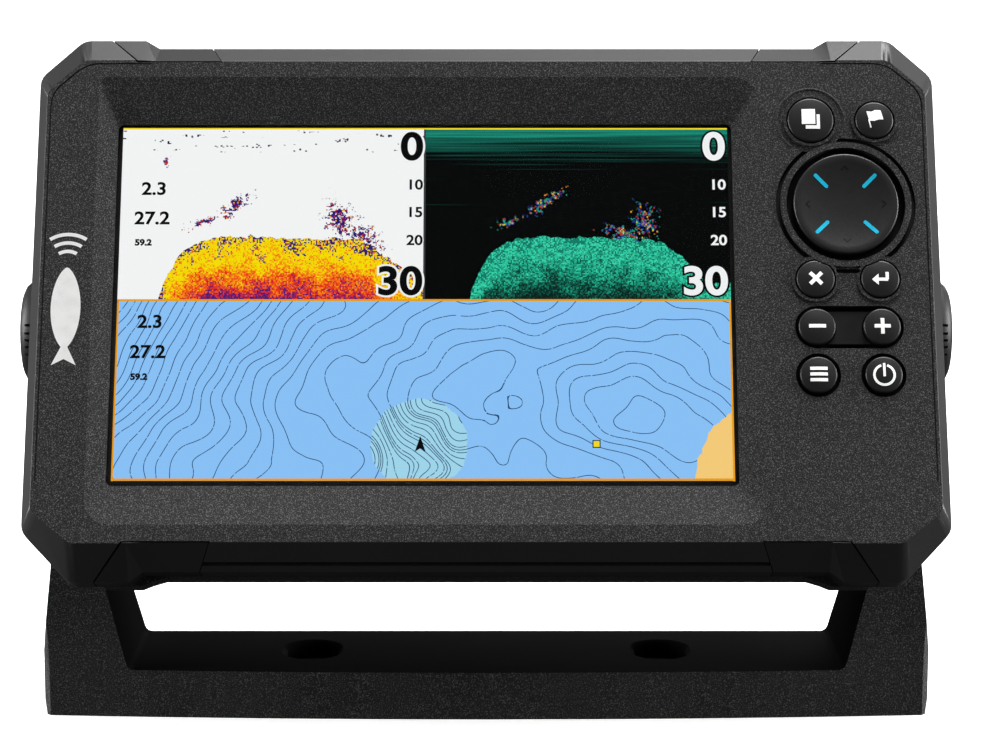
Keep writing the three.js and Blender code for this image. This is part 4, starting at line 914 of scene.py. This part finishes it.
def sonarPicture(name, mound, palette, ground, bands):
    tree, shader, spot = startPicture(name)
    axes = addNode(tree, "ShaderNodeSeparateXYZ", {"Vector": spot})
    up = axes.outputs["Y"]
    # the bottom's height along the picture
    share = addNode(tree, "ShaderNodeMapRange", {
        "Value": axes.outputs["X"], "From Min": mound["from"], "From Max": mound["to"]})
    line = addNode(tree, "ShaderNodeFloatCurve", {"Value": share})
    curve = line.mapping.curves[0]
    for i, (x, y) in enumerate(moundPoints):
        if i in (0, 1):
            curve.points[i].location = (x, y)
        else:
            curve.points.new(x, y)
    line.mapping.update()
    height = addNode(tree, "ShaderNodeMath", {0: line, 1: mound["height"], 2: picture["splitY"] - 1},
                     operation="MULTIPLY_ADD")
    wander = addNode(tree, "ShaderNodeTexNoise", {"Vector": spot, "Scale": 0.5, "Detail": 6.0})
    ragged = addNode(tree, "ShaderNodeMath", {0: wander, 1: sonar["rugged"], 2: -sonar["rugged"] / 2},
                     operation="MULTIPLY_ADD")
    bottom = addNode(tree, "ShaderNodeMath", {0: height, 1: ragged}, operation="ADD")
    depth = addNode(tree, "ShaderNodeMath", {0: bottom, 1: up}, operation="SUBTRACT")
    # its colour steps go by depth, with a grain of cells and broad patches mixed in
    depthShare = addNode(tree, "ShaderNodeMath", {0: depth, 1: 1 / mound["height"]}, operation="MULTIPLY")
    grained = addNode(tree, "ShaderNodeMath", {
        0: cells(tree, spot, sonar["cell"], 3.0), 1: mound["speckle"], 2: depthShare},
        operation="MULTIPLY_ADD")
    centred = addNode(tree, "ShaderNodeMath", {
        0: grained, 1: (mound["speckle"] + sonar["patchy"]) / 2}, operation="SUBTRACT")
    patches = addNode(tree, "ShaderNodeTexNoise", {"Vector": spot, "Scale": 0.22, "Detail": 5.0})
    mixed = addNode(tree, "ShaderNodeMath", {0: patches, 1: sonar["patchy"], 2: centred},
                    operation="MULTIPLY_ADD")
    seabed = addNode(tree, "ShaderNodeValToRGB", {"Fac": mixed}, palette, True)
    # fish and weeds above the bottom: speckles inside soft ovals
    speckle = addNode(tree, "ShaderNodeTexNoise", {"Vector": spot, "Scale": 0.9, "Detail": 4.0})
    crisp = addNode(tree, "ShaderNodeMath", {0: cells(tree, spot, sonar["cell"], 8.0), 1: 0.22, 2: speckle},
                    operation="MULTIPLY_ADD")
    echoes = None
    for x, y, wide, high, lean in mound["echoes"]:
        turned = addNode(tree, "ShaderNodeMapping", {
            "Vector": spot, "Location": (x, y, 0), "Rotation": (0, 0, math.radians(lean)),
            "Scale": (wide, high, 1)}, vector_type="TEXTURE")
        flat = addNode(tree, "ShaderNodeVectorMath", {0: turned, 1: (1, 1, 0)}, operation="MULTIPLY")
        away = addNode(tree, "ShaderNodeVectorMath", {0: flat}, operation="LENGTH").outputs["Value"]
        near = addNode(tree, "ShaderNodeMath", {0: away, 1: sonar["echoFade"], 2: sonar["echoCore"]},
                       operation="MULTIPLY_ADD")
        if echoes is None:
            echoes = near
        else:
            echoes = addNode(tree, "ShaderNodeMath", {0: echoes, 1: near}, operation="MAXIMUM")
    strength = addNode(tree, "ShaderNodeMath", {0: crisp, 1: echoes}, operation="ADD")
    hit = addNode(tree, "ShaderNodeMath", {0: strength, 1: sonar["echoFrom"]}, operation="GREATER_THAN")
    echoColour = addNode(tree, "ShaderNodeValToRGB", {"Fac": cells(tree, spot, sonar["cell"], 5.0)},
                         mound["echoColours"], True)
    water = addNode(tree, "ShaderNodeMix", {
        "Factor": hit, "A": bands(tree, spot, up, ground), "B": echoColour},
        data_type="RGBA").outputs[2]
    below = addNode(tree, "ShaderNodeMath", {0: depth, 1: 0.0}, operation="GREATER_THAN")
    final = addNode(tree, "ShaderNodeMix", {"Factor": below, "A": water, "B": seabed},
                    data_type="RGBA").outputs[2]
    tree.links.new(final, shader.inputs["Emission Color"])


specks = {"low": 40.5, "high": 46.3, "cell": 0.5, "from": 0.86, "colour": "#1f1a33"}


def surfaceSpecks(tree, spot, up, ground):  # stray dark specks in a band under the surface
    stretched = addNode(tree, "ShaderNodeMapping", {"Vector": spot, "Scale": (0.16, 0.7, 1)})
    dust = addNode(tree, "ShaderNodeTexNoise", {"Vector": stretched, "Scale": 1.0})
    above = addNode(tree, "ShaderNodeMath", {0: up, 1: specks["low"]}, operation="GREATER_THAN")
    under = addNode(tree, "ShaderNodeMath", {0: up, 1: specks["high"]}, operation="LESS_THAN")
    band = addNode(tree, "ShaderNodeMath", {0: above, 1: under}, operation="MULTIPLY")
    busy = addNode(tree, "ShaderNodeMath", {0: cells(tree, spot, specks["cell"], 1.0), 1: 0.3, 2: dust},
                   operation="MULTIPLY_ADD")
    dense = addNode(tree, "ShaderNodeMath", {0: busy, 1: specks["from"]}, operation="GREATER_THAN")
    hit = addNode(tree, "ShaderNodeMath", {0: band, 1: dense}, operation="MULTIPLY")
    return addNode(tree, "ShaderNodeMix", {
        "Factor": hit, "A": linear(ground), "B": linear(specks["colour"])}, data_type="RGBA").outputs[2]


def surfaceBands(tree, spot, up, ground):  # bright layers at the surface, fading with depth
    stretched = addNode(tree, "ShaderNodeMapping", {"Vector": spot, "Scale": (0.02, 1.6, 1)})
    layers = addNode(tree, "ShaderNodeTexNoise", {"Vector": stretched, "Scale": 1.0, "Detail": 5.0})
    fade = addNode(tree, "ShaderNodeMapRange", {
        "Value": up, "From Min": 36.0, "From Max": 45.7, "To Min": -0.3, "To Max": 0.3})
    strength = addNode(tree, "ShaderNodeMath", {0: layers, 1: fade}, operation="ADD")
    return addNode(tree, "ShaderNodeValToRGB", {"Fac": strength}, [
        (0.35, ground), (0.5, "#06302a"), (0.68, "#0f5e50"), (0.85, "#1b8f78")]).outputs["Color"]


# the bottom's outline: share of the way across, share of its height
moundPoints = [(0, 0), (1, 0.32), (0.05, 0.5), (0.12, 0.84), (0.22, 0.98), (0.42, 1.0), (0.6, 0.97),
               (0.75, 0.95), (0.85, 0.74), (0.94, 0.5)]
sonarPicture(
    "warmSonarPicture",
    {"from": -82.5, "to": -16, "height": 17.5, "speckle": 0.42,
     "echoes": [(-64, 26, 5, 1.6, 35), (-37, 22.5, 3.5, 4.5, 20), (-71, 22, 4, 1, 20),
                (-31, 18, 5, 2.5, -30), (-81, 38, 0.6, 1.5, 0)],
     "echoColours": [(0.0, "#1c1c78"), (0.45, "#47187a"), (0.72, "#c42a20"), (0.93, "#ffb400")]},
    [(0.0, "#2b1f74"), (0.02, "#ff7a10"), (0.07, "#ffe600"), (0.3, "#ffd400"), (0.42, "#ffa010"),
     (0.55, "#ff6a14"), (0.68, "#ee3418"), (0.82, "#a81c50"), (0.93, "#4a1c7c")],
    "#fdfdfd", surfaceSpecks)
sonarPicture(
    "coldSonarPicture",
    {"from": -4.5, "to": 57, "height": 17.5, "speckle": 0.55,
     "echoes": [(14, 26.5, 5, 1.4, 35), (40, 22, 3, 4, 20), (6, 22, 4, 0.9, 20), (36, 18, 6, 2, -20)],
     "echoColours": [(0.0, "#2433a0"), (0.35, "#1c9a80"), (0.7, "#c03a24"), (0.9, "#f0c020")]},
    [(0.0, "#12806a"), (0.06, "#3fe0b4"), (0.2, "#2cc49c"), (0.35, "#1ea482"), (0.5, "#127c64"),
     (0.62, "#0c5a49"), (0.76, "#083c31"), (0.9, "#05241e")],
    "#020303", surfaceBands)

chart = {
    "segmentsX": 260, "segmentsY": 80,
    "interval": 0.33,  # depth steps between two lines
    "line": 0.1,  # half a line's width in mm
    "water": "#8fc8ff", "surveyedWater": "#a6ddf3", "ink": "#22436f", "land": "#ffd27d",
    "surveyed": (-16.5, -35.5, 12, 11.5),  # middle and half sizes of each oval, in mm
    "shore": (66, -46, 14.5, 20),
}


def seaDepth(x, y):  # depth in contour steps at a point of the chart: a bank, and a slope to its left
    bank = math.hypot((x - 36) / 1.9, y + 30)
    slope = max(0, y * 0.6 - x * 0.8 - 20) / 17
    swell = noise.noise(Vector((x / 30, y / 26, 3.1))) * 1.1
    ripple = noise.noise(Vector((x / 9, y / 8, 8.7))) * 0.28
    return bank * 0.075 + slope ** 1.5 * 0.8 + (swell + ripple)


def contours(tree, depth, slope, interval):  # 1 where a depth line of one width runs, else 0
    steps = addNode(tree, "ShaderNodeMath", {0: depth, 1: interval}, operation="DIVIDE")
    part = addNode(tree, "ShaderNodeMath", {0: steps}, operation="FRACT")
    offMiddle = addNode(tree, "ShaderNodeMath", {0: part, 1: 0.5}, operation="SUBTRACT")
    distance = addNode(tree, "ShaderNodeMath", {0: offMiddle}, operation="ABSOLUTE")
    rise = addNode(tree, "ShaderNodeMath", {0: distance, 1: interval}, operation="MULTIPLY")
    away = addNode(tree, "ShaderNodeMath", {0: rise, 1: slope}, operation="DIVIDE")
    return addNode(tree, "ShaderNodeMath", {0: away, 1: chart["line"]}, operation="LESS_THAN")


def around(tree, spot, x, y, wide, high):  # 1 inside an oval with a ruffled edge, else 0
    place = addNode(tree, "ShaderNodeMapping", {
        "Vector": spot, "Location": (x, y, 0), "Scale": (wide, high, 1)}, vector_type="TEXTURE")
    flat = addNode(tree, "ShaderNodeVectorMath", {0: place, 1: (1, 1, 0)}, operation="MULTIPLY")
    away = addNode(tree, "ShaderNodeVectorMath", {0: flat}, operation="LENGTH").outputs["Value"]
    ruffle = addNode(tree, "ShaderNodeTexNoise", {"Vector": spot, "Scale": 0.35, "Detail": 4.0})
    edge = addNode(tree, "ShaderNodeMath", {0: ruffle, 1: 0.14, 2: away}, operation="MULTIPLY_ADD")
    return addNode(tree, "ShaderNodeMath", {0: edge, 1: 1.07}, operation="LESS_THAN")


def chartPicture(name):
    tree, shader, spot = startPicture(name)
    depth = addNode(tree, "ShaderNodeAttribute", attribute_name="seaDepth").outputs["Fac"]
    slope = addNode(tree, "ShaderNodeAttribute", attribute_name="seaSlope").outputs["Fac"]
    surveyed = around(tree, spot, *chart["surveyed"])
    land = around(tree, spot, *chart["shore"])
    sea = addNode(tree, "ShaderNodeMix", {
        "Factor": surveyed, "A": linear(chart["water"]), "B": linear(chart["surveyedWater"])},
        data_type="RGBA").outputs[2]
    fine = addNode(tree, "ShaderNodeMath", {
        0: surveyed, 1: contours(tree, depth, slope, chart["interval"] / 4)}, operation="MULTIPLY")
    lines = addNode(tree, "ShaderNodeMath", {
        0: contours(tree, depth, slope, chart["interval"]), 1: fine}, operation="MAXIMUM")
    breaks = addNode(tree, "ShaderNodeTexNoise", {"Vector": spot, "Scale": 1.4})
    whole = addNode(tree, "ShaderNodeMath", {0: breaks, 1: 0.36}, operation="GREATER_THAN")
    dashed = addNode(tree, "ShaderNodeMath", {0: lines, 1: whole}, operation="MULTIPLY")
    drawn = addNode(tree, "ShaderNodeMix", {"Factor": dashed, "A": sea, "B": linear(chart["ink"])},
                    data_type="RGBA").outputs[2]
    final = addNode(tree, "ShaderNodeMix", {"Factor": land, "A": drawn, "B": linear(chart["land"])},
                    data_type="RGBA").outputs[2]
    tree.links.new(final, shader.inputs["Emission Color"])


chartPicture("chartPicture")
addPanel("warm_sonar_view", picture["left"], picture["splitX"], picture["splitY"], picture["top"],
         "warmSonarPicture", picture["level"])
addPanel("cold_sonar_view", picture["splitX"], picture["right"], picture["splitY"], picture["top"],
         "coldSonarPicture", picture["level"])
chartPiece = addPanel("chart_view", picture["left"], picture["right"], picture["bottom"],
                      picture["splitY"], "chartPicture", picture["level"],
                      (chart["segmentsX"], chart["segmentsY"]))
depths, slopes = [], []
for vert in chartPiece.data.vertices:
    point = toHead @ vert.co
    here = seaDepth(point.x, point.y)
    rise = Vector((seaDepth(point.x + 0.1, point.y) - here, seaDepth(point.x, point.y + 0.1) - here))
    depths.append(here)
    slopes.append(max(rise.length / 0.1, 0.02))
for key, values in (("seaDepth", depths), ("seaSlope", slopes)):
    chartPiece.data.attributes.new(key, "FLOAT", "POINT").data.foreach_set("value", values)

# lines and marks over the pictures
for name, dim, bright in (("amberLine", "#eb9e18", "#f6a91e"), ("inkBlack", "#030304", "#0a0a0b"),
                          ("pureWhite", "#f6f7f8", "#ffffff"), ("markYellow", "#f8dc24", "#ffe62e"),
                          ("labelGrey", "#37373b", "#424246")):
    litLine(name, dim, bright)


def addMarks(name, finish, bars, level):
    bm = bmesh.new()
    for bar in bars:
        addBar(bm, *bar)
    bmesh.ops.translate(bm, vec=(0, 0, level), verts=bm.verts)
    return addPiece(name, bm, finish, "head", slot="display_panel")


wide = picture["right"] - picture["left"]
tall = picture["top"] - picture["bottom"]
middleX = (picture["left"] + picture["right"]) / 2
over = picture["level"] + 0.03
addMarks("picture_frame_lines", "amberLine", [
    (middleX, picture["splitY"], wide, 0.55),
    (middleX, picture["bottom"] + 0.3, wide, 0.6), (picture["left"] + 0.25, -22.4, 0.5, 46.6),
    (picture["right"] - 0.25, -22.4, 0.5, 46.6)], over)
addMarks("picture_top_line", "markYellow", [(middleX, picture["top"] - 0.2, wide, 0.4)], over)
addMarks("picture_split_line", "labelGrey", [
    (picture["splitX"], (picture["splitY"] + picture["top"]) / 2,
     0.5, picture["top"] - picture["splitY"] - 0.5)], over)


digits = {
    "big": 7.5, "small": 2.7,  # heights in mm
    "fontScale": 1.37,  # from a digit's height to its font size
    "widen": 1.12,
}


def addNumber(name, text, x, y, size, finish, thicken=0.0, level=0.05):  # right-aligned at x
    data = bpy.data.curves.new(name, "FONT")
    data.body = text
    data.size = size * digits["fontScale"]
    data.align_x = "RIGHT"
    data.offset = thicken
    lettered = bpy.data.objects.new(name, data)
    scene.collection.objects.link(lettered)
    bpy.context.view_layer.update()
    mesh = bpy.data.meshes.new_from_object(lettered.evaluated_get(bpy.context.evaluated_depsgraph_get()))
    bpy.data.objects.remove(lettered)
    bm = bmesh.new()
    bm.from_mesh(mesh)
    bmesh.ops.remove_doubles(bm, verts=bm.verts, dist=0.001)
    bmesh.ops.scale(bm, vec=(digits["widen"], 1, 1), verts=bm.verts)
    bmesh.ops.translate(bm, vec=(x, y, picture["level"] + level), verts=bm.verts)
    return addPiece(name, bm, finish, "head", slot="display_panel")


for panel, right, finish, edge in (("warm", picture["splitX"] - 0.4, "inkBlack", "pureWhite"),
                                   ("cold", picture["right"] - 0.6, "pureWhite", "inkBlack")):
    for text, y in (("0", 38.6), ("30", 3.0)):
        addNumber(f"{panel}_depth_{text}_edge", text, right, y, digits["big"], edge, 0.75, 0.035)
        addNumber(f"{panel}_depth_{text}", text, right, y, digits["big"], finish, 0.28)
    for text, y in (("10", 30.6), ("15", 23.3), ("20", 15.9)):
        addNumber(f"{panel}_depth_{text}_edge", text, right, y, digits["small"], edge, 0.3, 0.035)
        addNumber(f"{panel}_depth_{text}", text, right, y, digits["small"], finish, 0.09)
readings = (("2.3", -80.8, 29.2, 3.4), ("27.2", -79.8, 21.4, 3.4), ("59.2", -84.2, 15.8, 1.6))
for panel, lift in (("warm", 0), ("chart", -34.9)):
    for text, x, y, size in readings:
        addNumber(f"{panel}_reading_{text.replace('.', '_')}", text, x, y + lift, size, "inkBlack", 0.12)

chartMarks = {"boat": (-16.3, -35.6), "waypoint": (27.2, -35.5)}
topmost = picture["level"] + 0.05
bm = bmesh.new()
addPatch(bm, [(0, 2.1), (1.35, -1.9), (0, -1.0), (-1.35, -1.9)])
bmesh.ops.translate(bm, vec=(*chartMarks["boat"], topmost), verts=bm.verts)
addPiece("boat_arrow", bm, "inkBlack", "head", slot="display_panel")
addMarks("waypoint_edge", "inkBlack", [(*chartMarks["waypoint"], 2.0, 2.0)], over)
addMarks("waypoint_mark", "markYellow", [(*chartMarks["waypoint"], 1.5, 1.5)], topmost)

# black mask on the back of the glass, round the lit picture
glassLow, glassHigh = headBox("cover_glass")
maskLevel = picture["level"] + 0.06
addMarks("glass_mask", "blackMaskInk", [
    ((glassLow.x + picture["left"]) / 2, 0, picture["left"] - glassLow.x - 0.2, tall + 6),
    ((glassHigh.x + picture["right"]) / 2, 0, glassHigh.x - picture["right"] - 0.2, tall + 6),
    (middleX, (glassHigh.y + picture["top"]) / 2, wide + 2, glassHigh.y - picture["top"] - 0.2),
    (middleX, (glassLow.y + picture["bottom"]) / 2, wide + 2, picture["bottom"] - glassLow.y - 0.2)],
    maskLevel)
print("picture ready")
